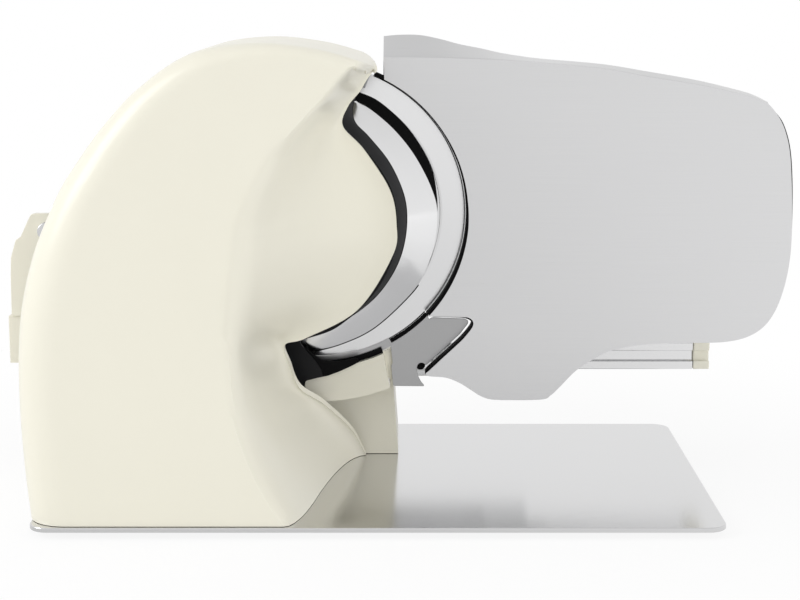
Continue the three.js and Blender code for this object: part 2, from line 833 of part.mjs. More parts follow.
// Frame wall: it closes the housing's back and carries the axle bracket, the motor and the ring guard.
function frameWall() {
  const rows = housingRows();
  const left = rows.map((row) => [row.left.x, row.left.y]);
  const margin = housingWall + gap;
  const inside = margin * wallMarginShare;
  const outline = inset(left, inside).filter(([x, z]) => z > margin && x < wallDrumX / 2);
  const top = outline.at(-1);
  const centre = [-wallDrumX, bladeHeight - wallDrumDrop];
  outline.push([wallDrumX / 2, top[1]]);
  const [drumX, drumZ] = centre;
  outline.push(...arc(drumX, drumZ, wallDrumRadius, wallDrumStartAngle, wallDrumEndAngle, smallSides));
  outline.push([-wallFootRight, bladeHeight / 2]);
  outline.push([-wallFootRight, gap]);
  outline.push([rows[0].left.x + inside, gap]);
  const far = -housingBack;
  const near = far - wallThickness;
  const plate = alongY(outline, near, far);
  const footing = block(-wallFootLeft, -wallFootRight, near - wallFootDepth, far, gap,
    gap + wallFootRise);
  const bore = rod(wallBore, near - overrun, far + overrun, 0, bladeHeight, roundSides);
  return cut(join(plate, footing), bore);
}

const wallNear = -housingBack - wallThickness;

// Deflector

function fromBlade(shares, steps) {
  return smooth(scaled(shares, bladeRadius, bladeRadius, 0, bladeHeight), steps);
}

// The plate's two edges and the carrier's rim, step by step from the top to the lower end.
function deflectorLines() {
  const outer = fromBlade(plateOuterShares, deflectorSteps);
  const inner = fromBlade(plateInnerShares, deflectorSteps);
  const rim = fromBlade(carrierRimShares, deflectorSteps);
  const front = -bladeThickness - deflectorClearance;
  return outer.map((point, i) => {
    const width = Math.hypot(point[0] - inner[i][0], point[1] - inner[i][1]);
    return { outer: point, inner: inner[i], rim: rim[i], front, drop: width * deflectorPitchShare };
  });
}

function spot(point, y) {
  return new THREE.Vector3(point[0], y, point[1]);
}

function between(a, b, share) {
  return [a[0] + (b[0] - a[0]) * share, a[1] + (b[1] - a[1]) * share];
}

// The point that lies a distance from start, in the direction from a to b.
function onward(start, a, b, distance) {
  const length = Math.hypot(b[0] - a[0], b[1] - a[1]);
  return [start[0] + (b[0] - a[0]) * distance / length, start[1] + (b[1] - a[1]) * distance / length];
}

function deflectorPlate() {
  const rings = deflectorLines().map(({ outer, inner, front, drop }) => [
    spot(outer, front - deflectorThickness),
    spot(outer, front),
    spot(inner, front - drop),
    spot(inner, front - drop - deflectorThickness),
  ]);
  return lofted(rings, (p) => new THREE.Vector2(Math.hypot(p.x, p.z - bladeHeight), p.y));
}

// The black carrier: a wall from the housing's trim edge back to the plate, a ledge under the plate, a lip
// against the frame wall, the foot below the plate's end, the apron beside it in front of the column, and
// the band along the blade's lower edge.
function deflectorCarrier() {
  const rimY = -housingNear + scoopDepth * rimDepthShare + housingWall + gap;
  const rings = deflectorLines().slice(1).map(({ outer, inner, rim, front, drop }) => {
    const ledge = between(inner, outer, 0.5);
    const ledgeDrop = drop / 2;
    const seat = front + gap * 3;
    const inwards = (start, distance) => onward(start, outer, inner, distance);
    return [
      spot(rim, rimY),
      spot(inwards(inner, gap), front - drop - deflectorThickness),
      spot(inwards(inner, gap), seat - drop),
      spot(ledge, seat - ledgeDrop),
      spot(ledge, Math.min(seat - ledgeDrop + carrierWall / 2, front + deflectorClearance / 2)),
      spot(inwards(inner, carrierWall), Math.min(seat - drop + carrierWall, front)),
      spot(inwards(inner, carrierWall), wallNear - gap),
      spot(inwards(inner, carrierLip), wallNear - gap),
      spot(inwards(inner, carrierLip), wallNear - gap - carrierLipThickness),
      spot(inwards(inner, carrierHeel), wallNear - gap - carrierLipThickness),
      spot(inwards(rim, carrierWall), rimY),
    ];
  });
  const band = lofted(rings, (p) => new THREE.Vector2(Math.hypot(p.x, p.z - bladeHeight), p.y));
  const footing = alongY(scaled(carrierFootShares, bladeRadius, bladeRadius, 0, bladeHeight),
    -carrierFootNear, -carrierFootFar);
  const apron = alongY(scaled(carrierApronShares, bladeRadius, bladeRadius, 0, bladeHeight),
    -carrierBandNear, -carrierApronFar);
  const inner = bladeRadius + carrierBandClearance;
  const strip = [
    ...arc(0, bladeHeight, inner, carrierBandStartAngle, carrierBandEndAngle, smallSides),
    ...arc(0, bladeHeight, inner + carrierBandWidth, carrierBandEndAngle, carrierBandStartAngle, smallSides),
  ];
  const edge = alongY(strip, -carrierBandNear, -carrierBandFar);
  return join(band, footing, apron, edge);
}

// Ring guard

function ringGuard() {
  const inner = bladeRadius + ringClearance;
  const outer = inner + ringWidth;
  const near = -housingBack + gap;
  const webInner = inner - ringWebWidth;
  const ring = [
    ...arc(0, bladeHeight, outer, ringStartAngle, ringEndAngle, roundSides),
    ...arc(0, bladeHeight, inner, ringEndAngle, ringStartAngle, roundSides),
  ];
  const web = [
    ...arc(0, bladeHeight, outer, ringStartAngle, ringEndAngle, roundSides),
    ...arc(0, bladeHeight, webInner, ringEndAngle, ringStartAngle, roundSides),
  ];
  return join(alongY(ring, near, ringFar), alongY(web, near, near + ringWebThickness));
}

// Column and lower guard

function columnSector(left, rightTop, rightLow) {
  const top = columnTopRadius;
  const low = columnLowRadius;
  const angleAt = (x, radius) => -Math.acos(x / radius) / degrees;
  return [
    ...arc(0, bladeHeight, top, angleAt(left, top), angleAt(rightTop, top), tinySides),
    ...arc(0, bladeHeight, low, angleAt(rightLow, low), angleAt(left, low), tinySides),
  ];
}

function bladeColumn() {
  const collar = alongY(columnSector(-columnLeft, columnRightTop, columnRightLow), -columnNear, columnFar);
  const shoulder = alongY(columnSector(-shoulderLeft, overrun, overrun), -shoulderNear, columnFar);
  const root = block(-columnLeft, columnRightLow, columnFar - overrun, bodyNear - gap,
    bladeHeight - columnLowRadius + overrun, bodyHeight - overrun);
  const clear = rod(columnTopRadius, -columnNear, bodyNear, 0, bladeHeight, fineSides);
  const lug = cut(block(columnRightTop - overrun * 2, lugRight, -lugNear, columnFar, lugLow, lugHigh),
    rod(columnTopRadius, -columnNear, bodyNear, 0, bladeHeight, fineSides));
  return join(collar, shoulder, cut(root, clear), lug);
}

function guardPlate() {
  const points = scaled(guardShares, bladeRadius, bladeRadius, 0, bladeHeight);
  const inner = bladeRadius + guardClearance;
  const bite = arc(0, bladeHeight, inner, guardArcStartAngle, guardArcEndAngle, tinySides);
  const outline = [...points, ...bite];
  const near = -lugNear - gap - guardThickness;
  return alongY(outline, near, near + guardThickness);
}

// Blade and its drive

function blade() {
  const flat = bladeRadius - bevelWidth;
  const profile = [
    [bladeBore, -bladeThickness], [flat, -bladeThickness], [bladeRadius, -bladeEdge], [bladeRadius, 0],
    [bladeBore, 0],
  ];
  const disc = turned(profile, 0, bladeHeight, fineSides);
  return cut(disc, ...screwPlaces().map(([x, z]) => screwShape(x, z, gap)));
}

function screwPlaces() {
  const places = [];
  for (let i = 0; i < bladeScrewCount; i += 1) {
    const angle = i / bladeScrewCount * Math.PI * 2;
    places.push([bladeScrewCircle * Math.cos(angle), bladeHeight + bladeScrewCircle * Math.sin(angle)]);
  }
  return places;
}

// A flat screw sunk in the blade's face, or the hole for it when it is spread.
function screwShape(x, z, spread) {
  const stem = bladeScrewRadius + spread;
  const head = bladeScrewHead + spread;
  const far = spread > 0 ? overrun : -gap;
  const near = -bladeScrewLength - (spread > 0 ? overrun : 0);
  const seat = -bladeScrewHeadHeight - spread;
  const profile = [[0, near], [stem, near], [stem, seat], [head, seat], [head, far], [0, far]];
  return turned(profile, x, z, tinySides);
}

function bladeHub() {
  const bore = bearingRadius + gap;
  const outer = bore + hubWall;
  const front = -bladeThickness - gap;
  const back = front - hubFlangeThickness;
  const spigot = bearingRadius + gap;
  const profile = [
    [spigot, -hubNear], [outer, -hubNear], [outer, back], [hubFlangeRadius, back], [hubFlangeRadius, front],
    [spigot, front],
  ];
  const hub = turned(profile, 0, bladeHeight, roundSides);
  return cut(hub, ...screwPlaces().map(([x, z]) => screwShape(x, z, gap)));
}

function bearing(near) {
  return tube(axleRadius + gap, bearingRadius, near, near + bearingWidth, 0, bladeHeight, smallSides);
}

function bladeAxle() {
  const near = -bracketNear;
  const profile = [
    [0, near], [axleRadius, near], [axleRadius, coverDish / 4], [coverThread + gap, coverDish / 4],
    [coverThread + gap, -hubFlangeThickness * 2], [0, -hubFlangeThickness * 2],
  ];
  return turned(profile, 0, bladeHeight, smallSides);
}

function drivePulley() {
  const bore = bearingRadius + gap + hubWall + gap;
  const near = -pulleyNear;
  const far = near + pulleyWidth;
  const groove = drivePulleyRadius - pulleyFlange;
  const side = (pulleyWidth - beltWidth) / 2 - gap;
  const rim = groove - pulleyWeb;
  const profile = [
    [bore, near], [drivePulleyRadius, near], [drivePulleyRadius, near + side], [groove, near + side],
    [groove, far - side], [drivePulleyRadius, far - side], [drivePulleyRadius, far], [rim, far],
    [rim, near + pulleyWeb], [bore, near + pulleyWeb],
  ];
  return turned(profile, 0, bladeHeight, roundSides);
}

function motorPulley() {
  const near = -pulleyNear;
  const far = near + pulleyWidth;
  const groove = motorPulleyRadius - pulleyFlange / 2;
  const side = (pulleyWidth - beltWidth) / 2 - gap;
  const profile = [
    [motorShaftRadius + gap, near], [motorPulleyRadius + overrun, near],
    [motorPulleyRadius + overrun, near + side], [groove, near + side], [groove, far - side],
    [motorPulleyRadius + overrun, far - side], [motorPulleyRadius + overrun, far],
    [motorShaftRadius + gap, far],
  ];
  return turned(profile, -motorX, motorHeight, smallSides);
}

// A loop round both pulleys: an arc on each and two straight runs.
function beltLoop(spread) {
  const large = drivePulleyRadius - pulleyFlange + gap + spread;
  const small = motorPulleyRadius - pulleyFlange / 2 + gap + spread;
  const rise = bladeHeight - motorHeight;
  const distance = Math.hypot(motorX, rise);
  const lean = Math.atan2(rise, motorX) / degrees;
  const open = Math.acos((large - small) / distance) / degrees;
  return [
    ...arc(0, bladeHeight, large, lean + halfTurnAngle - open, lean - halfTurnAngle + open, smallSides),
    ...arc(-motorX, motorHeight, small, lean - halfTurnAngle + open, lean - halfTurnAngle - open, tinySides),
  ];
}

function driveBelt() {
  const shape = shapeOf(beltLoop(beltThickness));
  shape.holes.push(new THREE.Path(beltLoop(0).reverse().map(([a, b]) => new THREE.Vector2(a, b))));
  const near = -pulleyNear + (pulleyWidth - beltWidth) / 2;
  return alongY(shape, near, near + beltWidth);
}

function axleBracket() {
  const low = bladeHeight + bracketLegLow;
  const high = bladeHeight + bracketLegHigh;
  const arm = [
    ...arc(0, bladeHeight, bracketBossRadius, bracketBossStartAngle, fullTurnAngle, tinySides),
    [bracketBossRadius * bracketShoulderShare, bladeHeight + bracketBossRadius],
    [-bracketLegRight, high], [-bracketLegLeft, high], [-bracketLegLeft, low],
  ];
  const near = -bracketNear;
  const front = alongY(arm, near, near + bracketThickness);
  const leg = block(-bracketLegLeft, -bracketLegRight, near, wallNear - gap, low, high);
  const far = near + bracketThickness;
  const bore = rod(axleRadius + gap, near - overrun, far + overrun, 0, bladeHeight, smallSides);
  return cut(join(front, leg), bore);
}

function motorCan() {
  const near = -motorNear;
  const far = near + motorLength;
  const bevel = motorBevel;
  const bore = motorShaftRadius + gap;
  const profile = [
    [bore, near], [motorRadius - bevel, near], [motorRadius, near + bevel], [motorRadius, far - bevel],
    [motorRadius - bevel, far], [bore, far],
  ];
  return turned(profile, -motorX, motorHeight, roundSides);
}

// The mount: a plate on the motor's end with two legs back to the frame wall.
function motorMount() {
  const near = -motorNear + motorLength + gap;
  const far = near + mountThickness;
  const plate = block(-motorX - mountHalf, -motorX + mountHalf, near, far, motorHeight - mountHalf,
    motorHeight + mountHalf);
  const clear = motorPulleyRadius + overrun * 2;
  const bore = rod(clear, near - overrun, far + overrun, -motorX, motorHeight, smallSides);
  const left = -motorX - mountHalf;
  const low = motorHeight - mountHalf;
  const back = wallNear - gap;
  const leftLeg = block(left, left + mountThickness, near, back, low, motorHeight + mountHalf);
  const lowLeg = block(left, -motorX + mountHalf, near, back, low, low + mountThickness);
  return join(cut(plate, bore), leftLeg, lowLeg);
}

function motorShaft() {
  const near = -motorNear - gap - fanWidth;
  return rod(motorShaftRadius, near, -pulleyNear + pulleyWidth + overrun, -motorX, motorHeight, smallSides);
}

function motorFan() {
  const far = -motorNear - gap;
  const near = far - fanWidth;
  const hub = tube(motorShaftRadius + gap, fanHub, near, far, -motorX, motorHeight, smallSides);
  const half = fanBladeThickness / 2;
  const vanes = [];
  for (let i = 0; i < fanBladeCount; i += 1) {
    const vane = block(fanHub - overrun, fanRadius, near, far, -half, half);
    vane.rotateY(i / fanBladeCount * Math.PI * 2);
    vanes.push(vane.translate(-motorX, 0, motorHeight));
  }
  return join(hub, ...vanes);
}

// Blade cover and its screw

function bladeCover() {
  const seat = coverDish / 4 + gap;
  const out = seat + coverDish;
  const bore = coverThread + gap;
  const [hollowEdge, hollowFoot, rimFoot] = coverUnderShares.map((share) => share * coverRadius);
  const [rimTop, crownEdge, crownFoot] = coverOverShares.map((share) => share * coverRadius);
  const profile = [
    [bore, seat], [hollowEdge, seat], [hollowFoot, out], [rimFoot, out], [coverRadius, seat],
    [coverRadius, seat + coverThickness], [rimTop, out + coverThickness], [crownEdge, out + coverThickness],
    [crownFoot, seat + coverThickness], [bore, seat + coverThickness],
  ];
  return turned(profile, 0, bladeHeight, roundSides);
}

function coverScrew() {
  const seat = coverDish / 4 + gap + coverThickness + gap;
  const near = -hubFlangeThickness;
  const profile = [
    [0, near], [coverThread, near], [coverThread, seat], [coverScrewRadius, seat],
    [coverScrewRadius, seat + coverScrewHead - overrun],
    [coverScrewRadius - overrun, seat + coverScrewHead], [0, seat + coverScrewHead],
  ];
  const screw = turned(profile, 0, bladeHeight, smallSides);
  const slot = block(-coverScrewRadius - overrun, coverScrewRadius + overrun, seat + coverScrewHead / 2,
    seat + coverScrewHead + overrun, bladeHeight - overrun, bladeHeight + overrun);
  return cut(screw, slot);
}

// Front body

function bodyFootprint(spread) {
  const left = -bodyLeft + spread;
  const right = bodyRight + overrun;
  const far = bodyFar - spread;
  const near = bodyNear + spread;
  const stepNear = -housingBack + gap + spread;
  const radius = bodyCorner - spread;
  const shape = new THREE.Shape();
  shape.moveTo(left, stepNear);
  shape.lineTo(-bodyStepX - spread, stepNear);
  shape.lineTo(-bodyStepX - spread, near);
  shape.lineTo(right, near);
  shape.absarc(right - radius, far - radius, radius, 0, Math.PI / 2);
  shape.absarc(left + radius, far - radius, radius, Math.PI / 2, Math.PI);
  shape.closePath();
  return shape;
}

function bodyRightLimit(spread) {
  const outline = [
    [-bodyLeft, 0], [bodyRight - spread, 0], [bodyRightTop - spread, bodyHeight], [-bodyLeft, bodyHeight],
  ];
  return alongY(outline, -housingBack, bodyFar + overrun);
}

function frontBody() {
  const outer = common(upZ(bodyFootprint(0), gap, bodyHeight), bodyRightLimit(0));
  const hollow = upZ(bodyFootprint(bodyWall), -overrun, bodyHeight - bodyWall);
  const inner = common(hollow, bodyRightLimit(bodyWall));
  const bulkhead = block(-bulkheadLeft, -bulkheadRight, bodyNear, bodyNear + bodyWall, gap,
    bodyHeight - overrun);
  const slotNear = armNear - gaugeTravel - slotClearance;
  const slot = block(bodyRightTop - bodyWall * 2, bodyRight + overrun, slotNear, armFar + slotClearance,
    armLow - gap * 2, armHigh + gap * 2);
  const far = bodyFar + overrun;
  const inside = bodyFar - bodyWall - overrun;
  const knobHole = rod(camShaftRadius + gap, inside, far, -knobX, knobHeight, smallSides);
  const nearHole = rod(camShaftRadius + gap, bodyNear - overrun, bodyNear + bodyWall + overrun, -knobX,
    knobHeight, smallSides);
  const buttonHoles = [stopX, startX].map((x) => rod(buttonRadius + gap, inside, far, -x, buttonHeight,
    smallSides));
  const inletHole = rod(inletRadius - overrun, inside, far, -inletX, inletHeight, smallSides);
  const shell = join(cut(outer, inner), bulkhead);
  return cut(shell, slot, knobHole, nearHole, ...buttonHoles, inletHole);
}

function cableInlet() {
  const stem = inletRadius - overrun - gap;
  const seat = bodyFar + gap;
  const profile = [
    [inletBore, bodyFar - bodyWall], [stem, bodyFar - bodyWall], [stem, seat], [inletRadius, seat],
    [inletRadius, seat + inletProud / 2], [stem, seat + inletProud], [inletBore, seat + inletProud],
  ];
  return turned(profile, -inletX, inletHeight, smallSides);
}

function controlBoard() {
  const board = block(-boardLeft, -boardRight, boardNear - boardThickness, boardNear, boardLow, boardHigh);
  const low = buttonHeight - buttonRadius;
  const high = buttonHeight + buttonRadius;
  const far = boardNear + boardThickness;
  const switches = [stopX, startX].map((x) => (
    block(-x - buttonRadius, -x + buttonRadius, boardNear - overrun, far, low, high)));
  const plug = block(-boardLeft + boardThickness, -stopX - buttonRadius, boardNear - plugDepth,
    boardNear - overrun, boardLow, boardLow + inletRadius * 2);
  const stand = block(-boardLeft, -boardRight, boardNear - standDepth, boardNear, gap, boardLow + overrun);
  return join(board, ...switches, plug, stand);
}

const flangeFar = bodyFar - bodyWall - gap;
const flangeNear = flangeFar - buttonFlange;

function pushButton(x) {
  const face = bodyFar + buttonTravel + buttonPressedProud;
  const crown = buttonRadius / 6;
  const flange = buttonRadius + buttonFlangeWidth;
  const profile = [
    [0, flangeNear], [flange, flangeNear], [flange, flangeFar], [buttonRadius, flangeFar],
    [buttonRadius, face - crown], [buttonRadius - crown, face], [0, face],
  ];
  return turned(profile, -x, buttonHeight, smallSides);
}

// A coil spring between the board's switch and the button's flange.
function buttonSpring(x) {
  const low = boardNear + boardThickness + gap + springWire;
  const high = flangeNear - gap - springWire;
  class Helix extends THREE.Curve {
    getPoint(t) {
      const angle = t * springTurns * Math.PI * 2;
      return new THREE.Vector3(-x + springRadius * Math.cos(angle), low + (high - low) * t,
        buttonHeight + springRadius * Math.sin(angle));
    }
  }
  const section = arc(0, 0, springWire, 0, fullTurnAngle, springSides).slice(0, -1);
  const settings = { steps: springTurns * springSteps, extrudePath: new Helix() };
  return new THREE.ExtrudeGeometry(shapeOf(section), settings);
}

// Thickness gauge

// The gauge's outline, with its top edge let down by a drop under the bent lip.
function gaugeOutline(drop) {
  const place = (shares) => scaled(shares, gaugeWidth, gaugeHeight, gaugeLeft, gaugeLow);
  const radius = bladeRadius + gaugeClearance;
  const lowered = (points, count) => points.map(([x, z], i) => [x, i < count ? z - drop : z]);
  return [
    [gaugeLeft, gaugeLow + gaugeHeight - drop],
    ...lowered(place(gaugeTopShares), gaugeTopShares.length),
    ...smooth(lowered(place(gaugeCornerShares), lipCornerPoints), smallSides),
    ...place(gaugeBottomShares),
    ...scaled(gaugeTailShares, bladeRadius, bladeRadius, 0, bladeHeight),
    ...arc(0, bladeHeight, radius, gaugeArcStartAngle, gaugeArcEndAngle, smallSides),
  ];
}

function gaugeBody() {
  const near = -gaugeDepth + gaugeSkin + gap;
  return alongY(gaugeOutline(gaugeSkin * 2), near, 0);
}

// The steel face of the gauge with its lip bent back along the top.
function gaugeFace() {
  const near = -gaugeDepth;
  const plate = alongY(gaugeOutline(0), near, near + gaugeSkin);
  const topShares = [[0, 1], ...gaugeTopShares, ...gaugeCornerShares.slice(0, lipCornerPoints)];
  const top = scaled(topShares, gaugeWidth, gaugeHeight, gaugeLeft, gaugeLow);
  const crest = scaled(lipShares, gaugeWidth, gaugeHeight, gaugeLeft, gaugeLow);
  const fold = (x) => {
    const k = Math.min(Math.max(top.findIndex((p) => p[0] > x), 1), top.length - 1);
    const share = (x - top[k - 1][0]) / (top[k][0] - top[k - 1][0]);
    return top[k - 1][1] + (top[k][1] - top[k - 1][1]) * Math.min(share, 1);
  };
  const rings = crest.map(([x, z], i) => {
    const low = fold(x);
    const rise = Math.max(z - low, gaugeSkin / 2);
    const far = near + lipDepth * lipShares[i][2];
    return [
      new THREE.Vector3(x, near, low - gaugeSkin * 2),
      new THREE.Vector3(x, near, low),
      new THREE.Vector3(x, far, low + rise),
      new THREE.Vector3(x, far, low + rise - gaugeSkin),
      new THREE.Vector3(x, near + gaugeSkin, low - gaugeSkin / 2),
      new THREE.Vector3(x, near + gaugeSkin, low - gaugeSkin * 2),
    ];
  });
  return join(plate, lofted(rings, (p) => new THREE.Vector2(p.y, p.z)));
}

// The arm runs back from the gauge, turns along the base and enters the front body.
function gaugeArm() {
  const stem = block(armPostLeft, armPostRight, gap, armFar, armLow, armHigh);
  const bar = block(-armLeft, armPostRight, armNear, armFar, armLow, armHigh);
  return join(stem, bar);
}

function gaugeSlider() {
  const low = knobHeight - sliderDrop;
  const near = armNear - overrun;
  const far = armFar + overrun;
  const body = block(-armLeft, -knobX + sliderHalf, armNear, armFar, low, sliderHigh);
  const camHole = rod(camRadius + overrun, near, far, -knobX, knobHeight, smallSides);
  const rodHoles = [-guideSpacing, guideSpacing].map((x) => (
    rod(guideRadius + gap, near, far, -knobX + x, knobHeight, smallSides)));
  const pinBore = pinRadius + gap;
  const high = sliderHigh + overrun;
  const pinProfile = [[0, knobHeight], [pinBore, knobHeight], [pinBore, high], [0, high]];
  const pinHole = post(pinProfile, -knobX, sliderCentre, tinySides);
  return cut(body, camHole, ...rodHoles, pinHole);
}

function guideRod(side) {
  return rod(guideRadius, bodyNear + bodyWall + gap, bodyFar - bodyWall - gap, -knobX + side * guideSpacing,
    knobHeight, smallSides);
}

function followerPin() {
  const low = knobHeight + camRadius - grooveDepth + gap;
  const high = sliderHigh - gap;
  return post([[0, low], [pinRadius, low], [pinRadius, high], [0, high]], -knobX, sliderCentre, tinySides);
}

// The cam: a drum on the knob's shaft, with a groove that winds forward as the drum turns.
function camBarrel() {
  const half = pinRadius + gap;
  const sides = roundSides;
  const rings = [];
  for (let i = 0; i < sides; i += 1) {
    const back = fullTurnAngle * i / sides;
    const turn = back > (fullTurnAngle + grooveTurnAngle) / 2 ? back - fullTurnAngle : back;
    const along = Math.min(Math.max(turn / grooveTurnAngle, 0), 1);
    const centre = sliderCentre - gaugeTravel * along;
    const inside = turn > -grooveMargin && turn < grooveTurnAngle + grooveMargin;
    const floor = inside ? camRadius - grooveDepth : camRadius;
    const angle = (halfTurnAngle / 2 + turn) * degrees;
    const profile = [
      [0, camNearEnd], [camShaftRadius, camNearEnd], [camShaftRadius, camNear], [camRadius, camNear],
      [camRadius, centre - half], [floor, centre - half], [floor, centre + half],
      [camRadius, centre + half], [camRadius, camFar], [camShaftRadius, camFar],
      [camShaftRadius, bodyFar + knobBoreDepth], [0, bodyFar + knobBoreDepth],
    ];
    rings.push(profile.map(([r, y]) => new THREE.Vector3(
      -knobX + r * Math.cos(angle), y, knobHeight + r * Math.sin(angle))));
  }
  return wrapped(rings);
}

// Closed skin over profiles set round an axis: each profile starts and ends on the axis.
function wrapped(rings) {
  const sides = rings[0].length;
  const places = rings.flat().flatMap((p) => [p.x, p.y, p.z]);
  const index = [];
  rings.forEach((_, i) => {
    const next = (i + 1) % rings.length;
    for (let j = 0; j + 1 < sides; j += 1) {
      const [a, b, c, d] = [i * sides + j, i * sides + j + 1, next * sides + j + 1, next * sides + j];
      index.push(a, b, c, a, c, d);
    }
  });
  const geometry = new THREE.BufferGeometry();
  geometry.setAttribute('position', new THREE.Float32BufferAttribute(places, 3));
  geometry.setIndex(index);
  return geometry;
}

function thicknessKnob() {
  const near = bodyFar + gap;
  const far = near + knobLength;
  const skirt = knobLength / 3;
  const profile = [
    [0, near], [knobRadius, near], [knobRadius, near + skirt],
    [knobRadius * knobWaistShare, near + skirt * knobBevelShare],
    [knobRadius * knobTopShare, far - knobRidgeHeight], [0, far - knobRidgeHeight],
  ];
  const body = turned(profile, -knobX, knobHeight, roundSides);
  const reach = knobRadius * knobTopShare;
  const ridge = block(-knobX - knobRidgeWidth / 2, -knobX + knobRidgeWidth / 2, near + skirt, far,
    knobHeight - reach, knobHeight + reach);
  const bore = rod(camShaftRadius + gap, near - overrun, bodyFar + knobBoreDepth + gap, -knobX, knobHeight,
    smallSides);
  return cut(join(body, ridge), bore);
}

// Rail

// The rail's section: a box with a groove along each side.
function railSection(spread) {
  const near = railNear - spread;
  const far = railNear + railDepth + spread;
  const middle = railLow + railHeight / 2;
  const half = railGrooveHeight / 2 - spread;
  const low = railLow - spread;
  const high = railTop + spread;
  return [
    [near, low], [far, low], [far, middle - half], [far - railGroove, middle - half],
    [far - railGroove, middle + half], [far, middle + half], [far, high], [near, high],
    [near, middle + half], [near + railGroove, middle + half], [near + railGroove, middle - half],
    [near, middle - half],
  ];
}

function railBeam() {
  const shape = shapeOf(railSection(0));
  const inner = railWall + railGroove;
  shape.holes.push(new THREE.Path([
    new THREE.Vector2(railNear + inner, railLow + railWall),
    new THREE.Vector2(railNear + inner, railTop - railWall),
    new THREE.Vector2(railNear + railDepth - inner, railTop - railWall),
    new THREE.Vector2(railNear + railDepth - inner, railLow + railWall),
  ]));
  return alongX(shape, -railLeft, railRight);
}

function railCap(left, right) {
  return alongX(railSection(0), left, right);
}

// Carriage

function carriageSlider() {
  const near = railNear - gap - jawThickness;
  const far = railNear + railDepth + gap + jawThickness;
  const middle = railLow + railHeight / 2;
  const tongue = railGrooveHeight / 2 - gap;
  const reach = railGroove - gap;
  const left = railNear - gap;
  const right = railNear + railDepth + gap;
  const section = [
    [near, jawLow], [left, jawLow], [left, middle - tongue], [left + reach, middle - tongue],
    [left + reach, middle + tongue], [left, middle + tongue], [left, railTop + gap], [right, railTop + gap],
    [right, middle + tongue], [right - reach, middle + tongue], [right - reach, middle - tongue],
    [right, middle - tongue], [right, jawLow], [far, jawLow], [far, sliderTop], [near, sliderTop],
  ];
  const body = alongX(section, -carriageLeft, -carriageLeft + carriageLength);
  const raised = block(-carriageLeft, -carriageLeft + endBlockWidth, near, far, sliderTop - overrun,
    endBlockTop);
  return join(body, raised);
}

function tray() {
  const outline = roundedRect(-trayLeft, -trayRight, trayNear, trayFar, trayCorner);
  const floor = upZ(outline, trayLow, trayLow + trayThickness);
  const wall = block(-trayRight - trayThickness, -trayRight, trayNear + trayCorner, trayFar - trayCorner,
    trayLow, trayLow + trayWallHeight);
  return join(floor, wall);
}

// The casting at the carriage's end: a wall and two ears that hold the pusher's rod.
function endCasting() {
  const low = castingLow;
  const left = -carriageLeft;
  const profile = scaled(castingShares, castingWidth, castingHeight, left, low);
  const footX = left + castingWidth * castingFootShare;
  const stepX = left + castingWidth * castingStepShare;
  const bottom = low - castingDrop;
  const ear = [...profile, [footX, bottom], [stepX, bottom], [stepX, low]];
  const ears = [earNear, castingFar - earThickness].map((y) => alongY(ear, y, y + earThickness));
  const leftEdge = profile.slice(0, 4);
  const wallOutline = [...leftEdge, ...leftEdge.map(([x, z]) => [x + castingWall, z]).reverse()];
  const wall = alongY(wallOutline, earNear, castingFar);
  const bore = rod(rodRadius + gap, earNear - overrun, castingFar + overrun, -rodX, rodHeight, smallSides);
  return cut(join(...ears, wall), bore);
}

function pusherRod() {
  return rod(rodRadius, earNear - rodProud, castingFar + rodProud, -rodX, rodHeight, smallSides);
}

function pusherSleeve() {
  const bore = rodRadius + gap;
  const profile = [
    [bore, sleeveNear], [sleeveCollar, sleeveNear], [sleeveCollar, sleeveNear + sleeveCollarWidth],
    [sleeveRadius, sleeveNear + sleeveCollarWidth], [sleeveRadius, sleeveFar - sleeveCollarWidth],
    [sleeveCollar, sleeveFar - sleeveCollarWidth], [sleeveCollar, sleeveFar], [bore, sleeveFar],
  ];
  return turned(profile, -rodX, rodHeight, smallSides);
}

// The pusher's arm: a hub on the sleeve, a bar along the carriage and a pad behind the pusher plate.
function pusherArm() {
  const hub = rod(pusherHub, armFront, sleeveFar - sleeveCollarWidth - gap, -rodX, rodHeight, smallSides);
  const bore = rod(sleeveRadius + gap, sleeveNear, sleeveFar, -rodX, rodHeight, smallSides);
  const low = rodHeight - pusherBarHeight / 2;
  const high = rodHeight + pusherBarHeight / 2;
  const right = padMiddle + pusherPadWidth / 2;
  const left = padMiddle - pusherPadWidth / 2;
  const outline = [
    [-rodX, low], [left - pusherBarHeight / 2, low], [left, low - pusherBarHeight / 2],
    [left, low - pusherPadDrop], [right, low - pusherPadDrop], [right, high - pusherBarHeight / 2],
    [right - pusherBarHeight / 2, high], [-rodX, high],
  ];
  const bar = alongY(outline, armFront, armFront + pusherArmThickness);
  return cut(join(hub, bar), bore);
}

function pusherPlate() {
  const left = -pusherPlateLeft;
  const right = left + pusherPlateWidth;
  const high = pusherPlateLow + pusherPlateHeight;
  const outline = roundedRect(left, right, pusherPlateLow, high, pusherCorner);
  const plate = alongY(outline, plateFar - pusherPlateThickness, plateFar);
  const teeth = [];
  for (let i = 0; i < toothColumns; i += 1) {
    for (let j = 0; j < toothRows; j += 1) {
      const x = left + pusherPlateWidth * (i + 0.5) / toothColumns;
      const z = pusherPlateLow + pusherPlateHeight * (j + 0.5) / toothRows;
      const base = plateFar - pusherPlateThickness + overrun;
      const profile = [[0, base - overrun - toothHeight], [toothRadius, base], [0, base]];
      teeth.push(turned(profile, x, z, toothSides));
    }
  }
  return join(plate, ...teeth);
}

